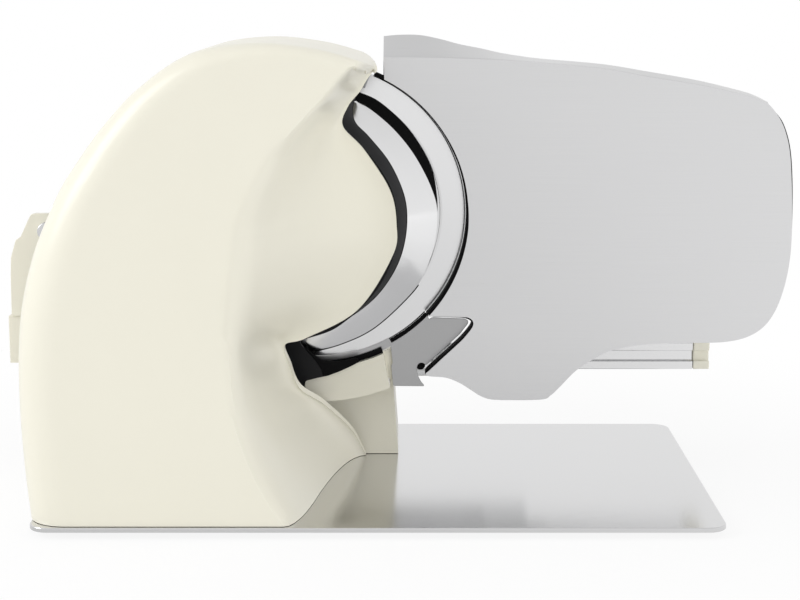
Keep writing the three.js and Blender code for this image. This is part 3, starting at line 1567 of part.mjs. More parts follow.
function pusherGrip() {
  const near = armFront + pusherArmThickness + gap;
  const z = rodHeight - pusherBarHeight / 2 - pusherPadDrop / 2;
  const ball = gripShares.map(([r, y]) => [gripRadius * r, near + gripLength * y]);
  const profile = [[0, near], [gripNeck, near], [gripNeck, near + gripLength / 4], ...ball];
  return turned(profile, padMiddle, z, smallSides);
}

// Assembly

const machine = new THREE.Group();

function add(name, geometry, material) {
  const body = welded(geometry);
  body.computeVertexNormals();
  const mesh = new THREE.Mesh(body, material);
  mesh.name = name;
  machine.add(mesh);
}

function addBase() {
  add('base_plate', basePlate(), finish.steel);
  const xs = [-baseLeft + footInset, baseRight - footInset];
  const ys = [-baseNear + footInset, baseFar - footInset];
  xs.forEach((x, i) => ys.forEach((y, j) => add(`foot_${i * 2 + j + 1}`, foot(x, y), finish.rubber)));
}

function addCasings() {
  add('housing', housingFace(), finish.cream);
  add('housing_scoop', housingScoop(), finish.cream);
  add('frame_wall', frameWall(), finish.cast);
  add('front_body', frontBody(), finish.cream);
  add('blade_column', bladeColumn(), finish.cream);
  add('guard_plate', guardPlate(), finish.steel);
  add('ring_guard', ringGuard(), finish.cast);
  add('deflector_plate', deflectorPlate(), finish.polished);
  add('deflector_carrier', deflectorCarrier(), finish.black);
  add('blade_cover', bladeCover(), finish.aluminium);
  add('cover_screw', coverScrew(), finish.polished);
  add('cable_inlet', cableInlet(), finish.rubber);
  add('control_board', controlBoard(), finish.board);
}

function addDrive() {
  add('blade', blade(), finish.polished);
  screwPlaces().forEach(([x, z], i) => add(`blade_screw_${i + 1}`, screwShape(x, z, 0), finish.steel));
  add('blade_hub', bladeHub(), finish.aluminium);
  add('drive_pulley', drivePulley(), finish.black);
  add('bearing_near', bearing(-hubNear + overrun), finish.steel);
  add('bearing_far', bearing(-hubNear / 2), finish.steel);
  add('blade_axle', bladeAxle(), finish.steel);
  add('axle_bracket', axleBracket(), finish.cast);
  add('drive_belt', driveBelt(), finish.rubber);
  add('motor', motorCan(), finish.steel);
  add('motor_mount', motorMount(), finish.cast);
  add('motor_shaft', motorShaft(), finish.steel);
  add('motor_pulley', motorPulley(), finish.black);
  add('motor_fan', motorFan(), finish.black);
}

function addControls() {
  add('stop_button', pushButton(stopX), finish.black);
  add('start_button', pushButton(startX), finish.black);
  add('stop_spring', buttonSpring(stopX), finish.steel);
  add('start_spring', buttonSpring(startX), finish.steel);
  add('thickness_knob', thicknessKnob(), finish.black);
  add('cam_barrel', camBarrel(), finish.aluminium);
}

function addGauge() {
  add('gauge_plate', gaugeBody(), finish.black);
  add('gauge_face', gaugeFace(), finish.steel);
  add('gauge_arm', gaugeArm(), finish.aluminium);
  add('gauge_slider', gaugeSlider(), finish.aluminium);
  add('guide_rod_left', guideRod(-1), finish.polished);
  add('guide_rod_right', guideRod(1), finish.polished);
  add('follower_pin', followerPin(), finish.steel);
}

function addCarriage() {
  add('rail_beam', railBeam(), finish.aluminium);
  add('rail_cap_right', railCap(railRight + gap, railRight + gap + capRight), finish.cream);
  add('rail_cap_left', railCap(-railLeft - gap - capLeft, -railLeft - gap), finish.cream);
  add('carriage_slider', carriageSlider(), finish.cream);
  add('tray', tray(), finish.steel);
  add('end_casting', endCasting(), finish.cream);
  add('pusher_rod', pusherRod(), finish.polished);
  add('pusher_sleeve', pusherSleeve(), finish.black);
  add('pusher_arm', pusherArm(), finish.aluminium);
  add('pusher_plate', pusherPlate(), finish.aluminium);
  add('pusher_grip', pusherGrip(), finish.cream);
}

addBase();
addCasings();
addDrive();
addControls();
addGauge();
addCarriage();

// The origin is the middle of the bottom of the whole machine.
const extent = new THREE.Box3().setFromObject(machine);
machine.position.set(-(extent.min.x + extent.max.x) / 2, -(extent.min.y + extent.max.y) / 2, -extent.min.z);

const slicer = new THREE.Group();
slicer.add(machine);

export default slicer;
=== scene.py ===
import json
import math

import bmesh
import bpy
import numpy as np
from bpy.props import FloatProperty, FloatVectorProperty, PointerProperty
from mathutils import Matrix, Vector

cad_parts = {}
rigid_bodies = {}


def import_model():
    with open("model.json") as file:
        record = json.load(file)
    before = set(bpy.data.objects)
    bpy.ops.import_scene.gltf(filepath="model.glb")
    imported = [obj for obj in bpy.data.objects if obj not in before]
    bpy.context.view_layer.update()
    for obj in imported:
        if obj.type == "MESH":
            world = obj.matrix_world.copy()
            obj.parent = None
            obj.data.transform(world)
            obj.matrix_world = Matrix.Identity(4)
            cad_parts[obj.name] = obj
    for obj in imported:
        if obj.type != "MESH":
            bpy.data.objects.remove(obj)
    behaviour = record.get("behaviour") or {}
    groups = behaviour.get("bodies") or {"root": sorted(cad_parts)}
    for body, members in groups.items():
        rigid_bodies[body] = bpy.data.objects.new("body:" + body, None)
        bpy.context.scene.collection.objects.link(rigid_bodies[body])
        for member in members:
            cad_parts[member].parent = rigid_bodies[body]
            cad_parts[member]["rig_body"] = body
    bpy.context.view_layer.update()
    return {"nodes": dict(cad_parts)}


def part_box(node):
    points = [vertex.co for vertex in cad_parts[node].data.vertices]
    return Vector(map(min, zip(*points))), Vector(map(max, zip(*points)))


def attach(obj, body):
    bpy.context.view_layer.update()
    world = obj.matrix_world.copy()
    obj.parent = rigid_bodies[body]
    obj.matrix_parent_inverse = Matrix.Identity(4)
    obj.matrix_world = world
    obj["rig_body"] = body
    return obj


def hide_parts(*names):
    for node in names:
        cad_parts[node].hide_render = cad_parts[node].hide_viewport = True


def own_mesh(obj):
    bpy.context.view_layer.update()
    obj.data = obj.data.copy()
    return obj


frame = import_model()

bl_info = {
    "name": "Electric food slicer",
    "version": (1, 0, 0),
    "blender": (4, 5, 0),
    "location": "View3D > Sidebar > Slicer",
    "description": "Dresses a food slicer's frame with its castings, steel sheets, finishes and studio",
    "category": "Object",
}

NODES = frame["nodes"]
MM = 0.001
SAME_POINT = 0.00001
TINY = 1e-9

# Sizes are in millimetres, from the blade's axis in X, its food-side face in Y and the base plate's top in Z.
BASE_LEFT = 168
BASE_NEAR = 152
PLATE_LOW, PLATE_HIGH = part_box("base_plate")
HOME = np.array([PLATE_LOW.x + BASE_LEFT * MM, PLATE_LOW.y + BASE_NEAR * MM, PLATE_HIGH.z])
BLADE_LOW, BLADE_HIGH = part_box("blade")
BLADE_RADIUS = (BLADE_HIGH.x - BLADE_LOW.x) / 2 / MM
BLADE_HEIGHT = ((BLADE_HIGH.z + BLADE_LOW.z) / 2 - HOME[2]) / MM
BLADE_THICKNESS = (BLADE_HIGH.y - BLADE_LOW.y) / MM
BEVEL_START = 81.0
BEVEL_END = BLADE_RADIUS - 1
BEVEL_RISE = 0.9
BLADE_BORE = 10
BLADE_MIDDLE = 60
# The step's two radii and its depth, the cutting edge's two depths, and how far inside it the back ends
BLADE_STEP = (BEVEL_START - 0.6, BEVEL_START - 0.4, 0.15)
BLADE_EDGE = (-0.3, -0.1)
BLADE_RELIEF = 1.2
GAP = 0.3
# Softened edges, in metres
TRIM_EDGE = 0.0002
SHEET_EDGE = 0.00025
SHELL_EDGE = 0.0007
KNOB_EDGE = 0.0012

# Housing: each row is one line across the shell, from the base up over the top. Shares of reach and height
# for the left outline, the crease and the trim edge as x and z, then shares of the rounding and of the scoop.
HOUSING_REACH = 174
HOUSING_HEIGHT = 285
HOUSING_NEAR = 150
HOUSING_BACK = 12
HOUSING_WALL = 3
HOUSING_ROUNDING = 24
SCOOP_DEPTH = 165
SCOOP_SPACING = 1.15
CREASE_LIMIT = 0.25
RIM_DEPTH_SHARE = 0.618
HOUSING_ROW_SHARES = [
    [-0.974, 0.000, -0.034, 0.000, 0.178, 0.000, 1.00, 1.000],
    [-0.989, 0.098, -0.126, 0.091, 0.125, 0.072, 1.00, 0.930],
    [-0.999, 0.211, -0.184, 0.175, 0.023, 0.151, 1.00, 0.812],
    [-1.000, 0.298, -0.216, 0.246, -0.064, 0.203, 1.00, 0.703],
    [-0.996, 0.368, -0.230, 0.302, -0.096, 0.267, 1.00, 0.630],
    [-0.983, 0.446, -0.236, 0.365, -0.112, 0.317, 1.00, 0.594],
    [-0.957, 0.519, -0.233, 0.421, -0.033, 0.333, 1.00, 0.600],
    [-0.920, 0.589, -0.227, 0.484, 0.157, 0.396, 0.96, 0.618],
    [-0.868, 0.660, -0.213, 0.561, 0.285, 0.519, 0.92, 0.618],
    [-0.833, 0.702, -0.204, 0.604, 0.299, 0.589, 0.90, 0.618],
    [-0.793, 0.740, -0.190, 0.639, 0.275, 0.665, 0.88, 0.618],
    [-0.690, 0.825, -0.132, 0.712, 0.183, 0.754, 0.79, 0.612],
    [-0.557, 0.909, -0.052, 0.793, 0.106, 0.807, 0.71, 0.600],
    [-0.379, 0.979, 0.029, 0.853, 0.124, 0.851, 0.62, 0.588],
    [-0.167, 1.000, 0.086, 0.895, 0.167, 0.884, 0.54, 0.576],
    [0.029, 0.989, 0.121, 0.923, 0.195, 0.912, 0.42, 0.570],
    [0.172, 0.966, 0.155, 0.946, 0.221, 0.933, 0.25, 0.564],
]
HOUSING_ROWS = 240
END_ROWS = 20
END_WALL = 0.5
END_WAY = np.array([[9.1, 0, -4.1], [1.0, 0, -0.5]])
END_FALL = np.array([[0, 0, -5.5], [0, 0, -1.5]])
WALL_COLUMNS = 8
ROUND_COLUMNS = 16
FLAT_COLUMNS = 46
SCOOP_COLUMNS = 80

# Deflector: shares of the blade's radius from its axis.
DEFLECTOR_FRONT = -BLADE_THICKNESS - 1
DEFLECTOR_SHEET = 1
DEFLECTOR_CORNER = 4.5
DEFLECTOR_COLUMNS = 17
DEFLECTOR_PITCHES = [(0, 0.5), (0.6, 0.55), (0.85, 0.3), (1, 0.12)]
PLATE_OUTER_SHARES = [
    [0.270, 0.754], [0.393, 0.671], [0.530, 0.547], [0.657, 0.384], [0.764, 0.178], [0.808, 0.005],
    [0.786, -0.225], [0.701, -0.454], [0.561, -0.626], [0.362, -0.800], [0.152, -0.901], [-0.058, -0.960],
]
PLATE_INNER_SHARES = [
    [0.249, 0.752], [0.243, 0.672], [0.268, 0.605], [0.352, 0.520], [0.489, 0.348], [0.583, 0.140],
    [0.605, -0.040], [0.577, -0.236], [0.505, -0.410], [0.387, -0.572], [0.220, -0.707], [0.020, -0.816],
    [-0.100, -0.853],
]
CARRIER_RIM_SHARES = [
    [0.288, 0.824], [0.222, 0.748], [0.182, 0.650], [0.226, 0.554], [0.362, 0.425], [0.496, 0.218],
    [0.539, 0.000], [0.515, -0.225], [0.420, -0.434], [0.300, -0.574], [0.128, -0.716], [-0.055, -0.783],
    [-0.172, -0.812],
]
CARRIER_FOOT_SHARES = [
    [-0.082, -0.774], [-0.164, -0.769], [-0.207, -0.846], [-0.229, -0.887], [-0.226, -0.932],
    [-0.205, -0.975], [-0.177, -1.050], [-0.151, -1.113], [-0.118, -1.183], [-0.095, -1.162],
    [-0.081, -1.127], [0.035, -1.098], [0.022, -1.050], [-0.012, -0.995], [-0.045, -0.955],
    [-0.078, -0.920], [-0.108, -0.880], [-0.122, -0.847], [-0.112, -0.827],
]
FOOT_CORNER = 1.4
CARRIER_APRON_SHARES = [
    [-0.100, -0.905], [-0.150, -1.000], [-0.110, -1.100], [-0.085, -1.141], [-0.017, -1.125],
    [0.065, -1.108], [0.147, -1.077], [0.230, -1.038], [0.283, -1.008], [0.260, -0.985],
    [0.150, -1.008], [0.030, -1.006], [-0.037, -0.957], [-0.071, -0.929],
]
APRON_CORNER = 1.2
CARRIER_START = 4
CARRIER_WALL = 2.5
CARRIER_LIP = 12
LIP_START = 3
LIP_SHEET = 2
SEAT_GAP = 4
FOOT_NEAR, FOOT_FAR = -13.5, -10.6
FOOT_SHIFT = (-0.4, -1.35)
APRON_NEAR, APRON_FAR = -12.5, -10.6
BAND_NEAR, BAND_FAR = -5.2, -3.6
BAND_SHIFT = (-0.3, -1.5)
CARRIER_BAND = (98.0, 102.5)
CARRIER_BAND_ANGLES = (271, 295.2)
# The band's rounded end: two points as a depth and a turn in degrees, and the turn where its outer arc starts
BAND_CORNERS = [(1.6, 0), (0.5, 0.4)]
BAND_TURN = 1.1
SKIRT_ARC = (96.5, 101.8, 255, 299)
SKIRT_NEAR, SKIRT_FAR = -3.2, -2.4
# A black strip along the plate's lower half: a painted shadow line under the plate's edge
SHADOW_LINE_START = 140
SHADOW_LINE_WIDTH = 0.9
# Painted shade: a black sheet between the plate's upper half and the bevel, where the blade lies in shade.
# Its outer edge as shares, then its width
SHADE_STRIP_NEAR, SHADE_STRIP_FAR = -3.9, -3.4
SHADE_FIELD_KEYS = [
    [0.262, 0.818, 8.0], [0.292, 0.808, 9.0], [0.418, 0.748, 11.0], [0.585, 0.600, 12.0],
    [0.704, 0.432, 10.0], [0.777, 0.276, 7.0], [0.806, 0.110, 3.5], [0.809, 0.010, 1.5],
]
DEFLECTOR_STEPS = 220
FALL_STEPS = 1100

# Lower guard plate and gauge plate. Arcs are given as radii, then angles in degrees, about the blade's axis.
# The guard's stop is its x, z and radius, and the gauge's horn two angles and its width.
GUARD_NEAR = -3.0
GUARD_FAR = -1.5
GUARD_ARC = (100.0, -43.5, -61.5)
GUARD_STOP = (67.9, 67.0, 3.2)
GUARD_CORNER = 1.6
GUARD_STAND = 1
EDGE_CLEARANCE = 0.12
GUARD_SHARES = [
    [0.494, -1.053], [0.508, -1.201], [0.728, -1.203], [0.700, -1.172], [0.680, -1.132], [0.671, -1.088],
    [0.676, -1.052], [0.696, -1.036], [0.716, -1.040], [0.735, -1.056], [0.966, -0.836], [1.022, -0.764],
    [1.022, -0.742], [0.995, -0.730], [0.765, -0.722],
]
GAUGE_WIDTH = 267.7
GAUGE_RADIUS = BLADE_RADIUS + 1.8
GAUGE_ARC = (-43, 64)
GAUGE_LEFT = GAUGE_RADIUS * math.cos(math.radians(GAUGE_ARC[1]))
GAUGE_LOW = BLADE_HEIGHT - BLADE_RADIUS * 1.278
GAUGE_HEIGHT = BLADE_RADIUS * 2.324
GAUGE_NEAR = -12
GAUGE_SKIN = 1
GAUGE_TABLE = 1.2
SHEET_SETBACK = [(-43, 0.6), (-20, 0.35), (-6, 0.2), (5, -0.35), (20, -0.5), (34, -0.9), (64, -1.25)]
EDGE_STEPS = 700
RING_STEPS = 200
LEVEL_COLUMNS = 25
# How far the sheet's left edge stands in, at the arc's end and at the crown
SHEET_MARGINS = (0.5, 0.1)
TAIL_CORNER = 4
TAIL_EASE = 4
TAIL_LEVEL = 1.11
# Shares of the gauge's height: where the body's drop or the sheet's pull starts and over how much it grows,
# then where the pull ends and over how much it fades
BODY_DROP = 2
BODY_DROP_SHARES = (0.82, 0.06)
HORN = (62, 67.6, 2.3)
RIGHT_PULL = 0.8
RIGHT_PULL_SHARES = (0.45, 0.2, 0.93, 0.05)
TAIL_SETBACK = 1.2
GAUGE_RIGHT_SHARES = [
    [0.288, 0.000], [0.390, 0.001], [0.416, 0.015], [0.437, 0.039], [0.482, 0.093], [0.548, 0.141],
    [0.585, 0.154], [0.622, 0.163], [0.683, 0.169], [0.756, 0.171], [0.844, 0.174], [0.905, 0.192],
    [0.949, 0.233], [0.979, 0.307], [0.997, 0.416], [1.000, 0.562], [0.993, 0.707], [0.978, 0.788],
    [0.954, 0.841], [0.922, 0.876], [0.861, 0.897], [0.764, 0.921], [0.643, 0.944], [0.521, 0.969],
    [0.329, 0.989], [0.158, 0.997], [0.000, 1.000],
]
GAUGE_TAIL_SHARES = [
    [1.238, -1.278], [1.175, -1.276], [1.109, -1.255], [0.966, -1.159], [0.873, -1.120], [0.741, -1.113],
    [0.719, -1.090], [0.829, -0.985], [0.977, -0.846], [1.043, -0.762], [1.040, -0.729], [0.996, -0.709],
    [0.779, -0.702],
]
LIP_DEPTH = 26
LIP_BEND = 0.1
LIP_TUCK = 2
LIP_LEAST = 0.5
LIP_THICKNESS = 0.8
LIP_SHARES = [
    [0.000, 1.056, 1.00], [0.040, 1.060, 1.00], [0.089, 1.059, 1.00], [0.138, 1.048, 0.96],
    [0.187, 1.033, 0.90], [0.236, 1.022, 0.84], [0.286, 1.009, 0.77], [0.335, 1.000, 0.70],
    [0.384, 0.993, 0.64], [0.532, 0.978, 0.50], [0.643, 0.957, 0.48], [0.764, 0.932, 0.46],
    [0.861, 0.905, 0.46], [0.900, 0.891, 0.34], [0.932, 0.872, 0.16],
]

# Camera, as worked out from the photograph's base plate and blade
IMAGE_WIDTH = 800
FOCAL_PIXELS = 1800
SENSOR_WIDTH = 36
CAMERA_TILT = 9.97
CAMERA_PLACE = (54.2, -1181.9, 318.7)


def number(name, description, default, low, high, **kind):
    """A number that a user may change, with its unit or subtype where one fits."""
    return FloatProperty(name=name, description=description, default=default, min=low, max=high, **kind)


def swatch(name, description, default):
    """A colour that a user may change."""
    return FloatVectorProperty(
        name=name, description=description, default=default, min=0, max=1, subtype="COLOR")


class SlicerSizes(bpy.types.PropertyGroup):
    """Small sizes of the surface, in metres. The main sizes come from the frame."""
    crease_radius: number("Crease radius", "Softness of the line between the housing's face and its scoop",
                          0.009, 0.001, 0.02, unit="LENGTH")
    plate_crown: number("Deflector crown", "How far the bright deflector plate bulges across its width",
                        0.0004, 0.0, 0.003, unit="LENGTH")
    edge_softness: number("Edge softness", "Width of the worn bevel on machined edges",
                          0.0006, 0.0001, 0.002, unit="LENGTH")
    casting_softness: number("Casting softness", "Width of the rounding on painted castings",
                             0.0022, 0.0005, 0.005, unit="LENGTH")


class SlicerColours(bpy.types.PropertyGroup):
    """Colours and gloss of the slicer's finishes."""
    cream: swatch("Cream paint", "Powder coat on the castings", (0.84, 0.815, 0.70))
    cream_roughness: number("Paint roughness", "Gloss of the powder coat", 0.36, 0, 1, subtype="FACTOR")
    steel: swatch("Brushed steel", "Brushed stainless sheet", (0.72, 0.72, 0.725))
    polished: swatch("Polished steel", "Hard-chromed, polished steel", (0.80, 0.80, 0.805))
    aluminium: swatch("Aluminium", "Satin anodised aluminium", (0.74, 0.745, 0.75))
    casting: swatch("Bare casting", "Unpainted aluminium casting", (0.42, 0.425, 0.43))
    black: swatch("Black plastic", "Moulded black plastic", (0.012, 0.012, 0.013))


class SlicerStudio(bpy.types.PropertyGroup):
    """Light and floor of the studio."""
    key_power: number("Key light", "Power of the large soft light at the left", 21.5, 0, 500, unit="POWER")
    fill_power: number("Fill light", "Power of the soft light at the right", 17.0, 0, 500, unit="POWER")
    top_power: number("Top light", "Power of the overhead soft light", 2.5, 0, 500, unit="POWER")
    room_level: number("Room light", "Level of the even light from all sides", 0.65, 0, 3)
    floor_colour: swatch("Floor", "Colour of the plain floor", (0.92, 0.92, 0.92))


# Shader maths


class Wire:
    """One output of a node. Arithmetic on it adds Math nodes."""

    def __init__(self, paint, socket):
        self.paint = paint
        self.socket = socket

    def __add__(self, other):
        return self.paint.math("ADD", self, other)

    __radd__ = __add__

    def __mul__(self, other):
        return self.paint.math("MULTIPLY", self, other)

    def __rsub__(self, other):
        return self.paint.math("SUBTRACT", other, self)

    def __pow__(self, other):
        return self.paint.math("POWER", self, other)

    def clamped(self):
        return self.paint.math("MULTIPLY", self, 1.0, use_clamp=True)


class Paint:
    """A node tree written as Python: a material's, the floor's or the world's."""

    def __init__(self, owner, end="ShaderNodeOutputMaterial"):
        owner.use_nodes = True
        self.tree = owner.node_tree
        self.tree.nodes.clear()
        self.end = self.tree.nodes.new(end)

    def surface(self, wire):
        self.tree.links.new(wire.socket, self.end.inputs["Surface"])

    def node(self, kind, output, settings=None, **sockets):
        """A node with its settings made first, then its sockets given values or links. A socket is named, or
        numbered after an underscore."""
        made = self.tree.nodes.new(kind)
        for key, value in (settings or {}).items():
            setattr(made, key, value)
        for key, value in sockets.items():
            name = int(key[1:]) if key[1:].isdigit() else key.replace("_", " ")
            self.feed(made.inputs[name], value)
        return Wire(self, made.outputs[output])

    def feed(self, socket, value):
        if isinstance(value, Wire):
            self.tree.links.new(value.socket, socket)
        else:
            socket.default_value = value

    def math(self, operation, a, b, use_clamp=False):
        settings = {"operation": operation, "use_clamp": use_clamp}
        return self.node("ShaderNodeMath", 0, settings, _0=a, _1=b)

    def parts(self, vector):
        """The x, y and z of a vector."""
        split = self.node("ShaderNodeSeparateXYZ", 0, None, _0=vector).socket.node
        return [Wire(self, split.outputs[k]) for k in range(3)]

    def ramp(self, value, start, end, low, high):
        """A smooth change from a low to a high level while a value runs from start to end."""
        return self.node("ShaderNodeMapRange", 0, {"interpolation_type": "SMOOTHSTEP"}, Value=value,
                         From_Min=start, From_Max=end, To_Min=low, To_Max=high)

    def rays(self):
        """Masks of the rays from the camera, and of those from a mirror or through glass."""
        path = self.node("ShaderNodeLightPath", "Is Camera Ray").socket.node
        glossy = Wire(self, path.outputs["Is Glossy Ray"])
        glass = Wire(self, path.outputs["Is Transmission Ray"])
        return Wire(self, path.outputs["Is Camera Ray"]), self.math("MAXIMUM", glossy, glass)

    def place(self, centre=(0, 0, 0), scale=(1, 1, 1)):
        """Object coordinates about a centre, stretched by a scale."""
        source = self.node("ShaderNodeTexCoord", "Object")
        moved = self.node("ShaderNodeVectorMath", 0, {"operation": "SUBTRACT"}, _0=source, _1=centre)
        return self.node("ShaderNodeVectorMath", 0, {"operation": "MULTIPLY"}, _0=moved, _1=scale)

    def noise(self, vector, scale, detail=2.0, roughness=0.5):
        return self.node("ShaderNodeTexNoise", "Fac", None, Vector=vector, Scale=scale, Detail=detail,
                         Roughness=roughness)

    def shade(self, colour, mask, spread):
        """The colour made up to a spread darker or lighter by a mask from 0 to 1."""
        low = tuple(min(1, c * (1 - spread)) for c in colour) + (1,)
        high = tuple(min(1, c * (1 + spread)) for c in colour) + (1,)
        return self.mix(low, high, mask)

    def mix(self, low, high, mask):
        return self.node("ShaderNodeMix", 2, {"data_type": "RGBA"}, _0=mask, _6=low, _7=high)

    def bump(self, height, strength, distance):
        return self.node("ShaderNodeBump", 0, None, Height=height, Strength=strength, Distance=distance)


class Finish(Paint):
    """A material with a principled shader at its end."""

    def __init__(self, name):
        self.material = bpy.data.materials.new(name)
        super().__init__(self.material)
        self.shader = self.tree.nodes.new("ShaderNodeBsdfPrincipled")
        self.surface(Wire(self, self.shader.outputs["BSDF"]))

    def set(self, **sockets):
        """Values or links on the principled shader, with underscores for spaces."""
        for key, value in sockets.items():
            self.feed(self.shader.inputs[key.replace("_", " ")], value)


def powder_coat(name, colour, roughness):
    """Paint: a faint orange peel with slow changes of tone and gloss, and a thin clear layer."""
    paint = Finish(name)
    place = paint.place()
    peel = paint.noise(place, 900, 3.0)
    slow = paint.noise(place, 9, 2.0)
    paint.set(Base_Color=paint.shade(colour, slow, 0.018), Roughness=roughness - 0.04 + slow * 0.08)
    paint.set(Normal=paint.bump(peel, 0.05, 0.0002))
    paint.set(Coat_Weight=0.25, Coat_Roughness=0.18, Specular_IOR_Level=0.45)
    return paint.material


def brushed(name, colour, roughness, scale, streak, spread):
    """Brushed sheet: noise drawn out along the brushing, seen in tone, gloss and a fine relief."""
    paint = Finish(name)
    fine = paint.noise(paint.place(scale=scale), 1.0, 4.0, 0.7)
    cloud = paint.noise(paint.place(), 5.5, 2.0)
    mask = (fine * 0.75 + cloud * 0.25).clamped()
    paint.set(Base_Color=paint.shade(colour, mask, spread), Metallic=1.0)
    paint.set(Roughness=roughness - 0.06 + fine * 0.12)
    paint.set(Normal=paint.bump(fine, streak, 0.00004))
    return paint.material


def spun(name, colour, roughness, centre, spread, rings):
    """Turned metal: fine rings about an axis along Y through a centre."""
    paint = Finish(name)
    place = paint.place(centre=centre)
    x, _, z = paint.parts(place)
    radius = (x * x + z * z) ** 0.5
    ring = paint.node("ShaderNodeCombineXYZ", 0, None, _0=radius * rings)
    fine = paint.noise(ring, 1.0, 3.0, 0.65)
    cloud = paint.noise(place, 7.0, 2.0)
    mask = (fine * 0.6 + cloud * 0.4).clamped()
    paint.set(Base_Color=paint.shade(colour, mask, spread), Metallic=1.0)
    paint.set(Roughness=roughness - 0.03 + fine * 0.06, Normal=paint.bump(fine, 0.25, 0.00002))
    return paint.material


def polished(name, colour, roughness):
    """Chromed steel: nearly a mirror, with faint wipe marks in its gloss."""
    paint = Finish(name)
    wipe = paint.noise(paint.place(scale=(40, 40, 160)), 1.0, 3.0)
    cloud = paint.noise(paint.place(), 12, 2.0)
    paint.set(Base_Color=paint.shade(colour, cloud, 0.03), Metallic=1.0)
    paint.set(Roughness=roughness + wipe * 0.06, Normal=paint.bump(wipe, 0.04, 0.0001))
    return paint.material


def moulded(name, colour, roughness, shine, grain=1400, relief=0.12):
    """Moulded plastic or rubber: an even spark-eroded grain and slow changes of gloss."""
    paint = Finish(name)
    place = paint.place()
    fine = paint.noise(place, grain, 2.0)
    slow = paint.noise(place, 14, 2.0)
    paint.set(Base_Color=paint.shade(colour, slow, 0.18), Roughness=roughness - 0.06 + slow * 0.12)
    paint.set(Normal=paint.bump(fine, relief, 0.0002), Specular_IOR_Level=shine)
    return paint.material


def bare_casting(name, colour, roughness):
    """Sand-cast aluminium: a coarse grain over a slow waviness."""
    paint = Finish(name)
    place = paint.place()
    grain = paint.noise(place, 520, 4.0, 0.7)
    slow = paint.noise(place, 24, 2.0)
    mask = (grain * 0.5 + slow * 0.5).clamped()
    paint.set(Base_Color=paint.shade(colour, mask, 0.14), Metallic=1.0)
    paint.set(Roughness=roughness + grain * 0.15, Normal=paint.bump(grain, 0.4, 0.0004))
    return paint.material


def circuit(name):
    """A green board with lighter tracks from thin bands of noise."""
    paint = Finish(name)
    cells = paint.node("ShaderNodeTexVoronoi", "Distance", {"feature": "DISTANCE_TO_EDGE"},
                       Vector=paint.place(), Scale=260.0)
    track = paint.math("LESS_THAN", cells, 0.06)
    green = paint.mix((0.02, 0.11, 0.045, 1), (0.16, 0.30, 0.10, 1), track)
    paint.set(Base_Color=green, Roughness=0.42 - track * 0.1, Normal=paint.bump(track, 0.2, 0.0001))
    return paint.material


MATERIALS = {}
# The lower guard's steel is the brushed steel darkened: painted shade for its place under the blade
GUARD_SHADE_TONE = 0.62
# Black plastic darkened to a painted shade, for the strips and small parts that sit in shade under the blade
# and behind the gauge
SHADE_BLACK_TONE = 0.4


def make_materials(colours):
    """One material for each finish of the machine, by a short name."""
    axis = (HOME[0], HOME[1], HOME[2] + BLADE_HEIGHT * MM)
    steel, bright, black = tuple(colours.steel), tuple(colours.polished), tuple(colours.black)
    guard = tuple(c * GUARD_SHADE_TONE for c in steel)
    shaded_black = tuple(c * SHADE_BLACK_TONE for c in black)
    MATERIALS.update({
        "cream": powder_coat("cream_powder_coat", tuple(colours.cream), colours.cream_roughness),
        "gauge": brushed("gauge_steel", steel, 0.30, (14, 14, 2400), 0.3, 0.055),
        "base": brushed("base_steel", steel, 0.16, (16, 2200, 2200), 0.18, 0.03),
        "steel": brushed("plain_steel", steel, 0.28, (60, 60, 1600), 0.3, 0.06),
        # A darker copy of the brushed steel, painted shade for the guard and skirt under the blade
        "guard": brushed("shaded_guard_steel", guard, 0.3, (22, 22, 2600), 0.2, 0.03),
        "blade": spun("blade_steel", bright, 0.2, axis, 0.04, 2600),
        "cover": spun("cover_steel", steel, 0.2, axis, 0.05, 1800),
        "polished": polished("polished_steel", bright, 0.13),
        "aluminium": brushed("satin_aluminium", tuple(colours.aluminium), 0.3, (10, 1500, 1500), 0.2, 0.04),
        "rail": brushed("rail_aluminium", bright, 0.2, (10, 900, 900), 0.12, 0.05),
        "casting": bare_casting("bare_casting", tuple(colours.casting), 0.42),
        "black": moulded("black_plastic", black, 0.4, 0.16),
        "satin": moulded("satin_black", black, 0.58, 0.1),
        # A darker copy of the black plastic: painted shade
        "shaded_black": moulded("painted_shade_black", shaded_black, 0.65, 0.08),
        "rubber": moulded("black_rubber", (0.02, 0.02, 0.021), 0.62, 0.3, 900, 0.25),
        "board": circuit("circuit_board"),
    })


# Surfaces. Angles in degrees: from which an edge shades sharp or is bevelled, and up to which faces are flat.
SHARP_ANGLE = 35
BEVEL_ANGLE = 32
FLAT_ANGLE = 0.8


def in_millimetres(box):
    """The low corner, the high corner, the middle and half the width of one of the frame's boxes."""
    low, high = [np.array(corner) for corner in box]
    return *[(point - HOME) / MM for point in (low, high, (low + high) / 2)], (high[0] - low[0]) / 2 / MM


def spline(keys, count):
    """Points on the smooth curve through the keys: between two keys, a cubic in t whose slope at each key is
    half the step between its neighbours."""
    keys = np.asarray(keys, float)
    last = len(keys) - 1
    place = np.linspace(0, last, count)
    i = np.minimum(place.astype(int), last - 1)
    t = (place - i)[:, None]
    a, b, c, d = [keys[np.clip(i + k, 0, last)] for k in (-1, 0, 1, 2)]
    bend = a - 2.5 * b + 2 * c - d / 2
    twist = 1.5 * (b - c) + (d - a) / 2
    return b + t * ((c - a) / 2 + t * (bend + t * twist))


def arc(radius, start, end, count):
    """Points on a circle about the blade's axis, as x and z, from one angle in degrees to another."""
    angle = np.radians(np.linspace(start, end, count))
    return np.stack([radius * np.cos(angle), BLADE_HEIGHT + radius * np.sin(angle)], axis=1)


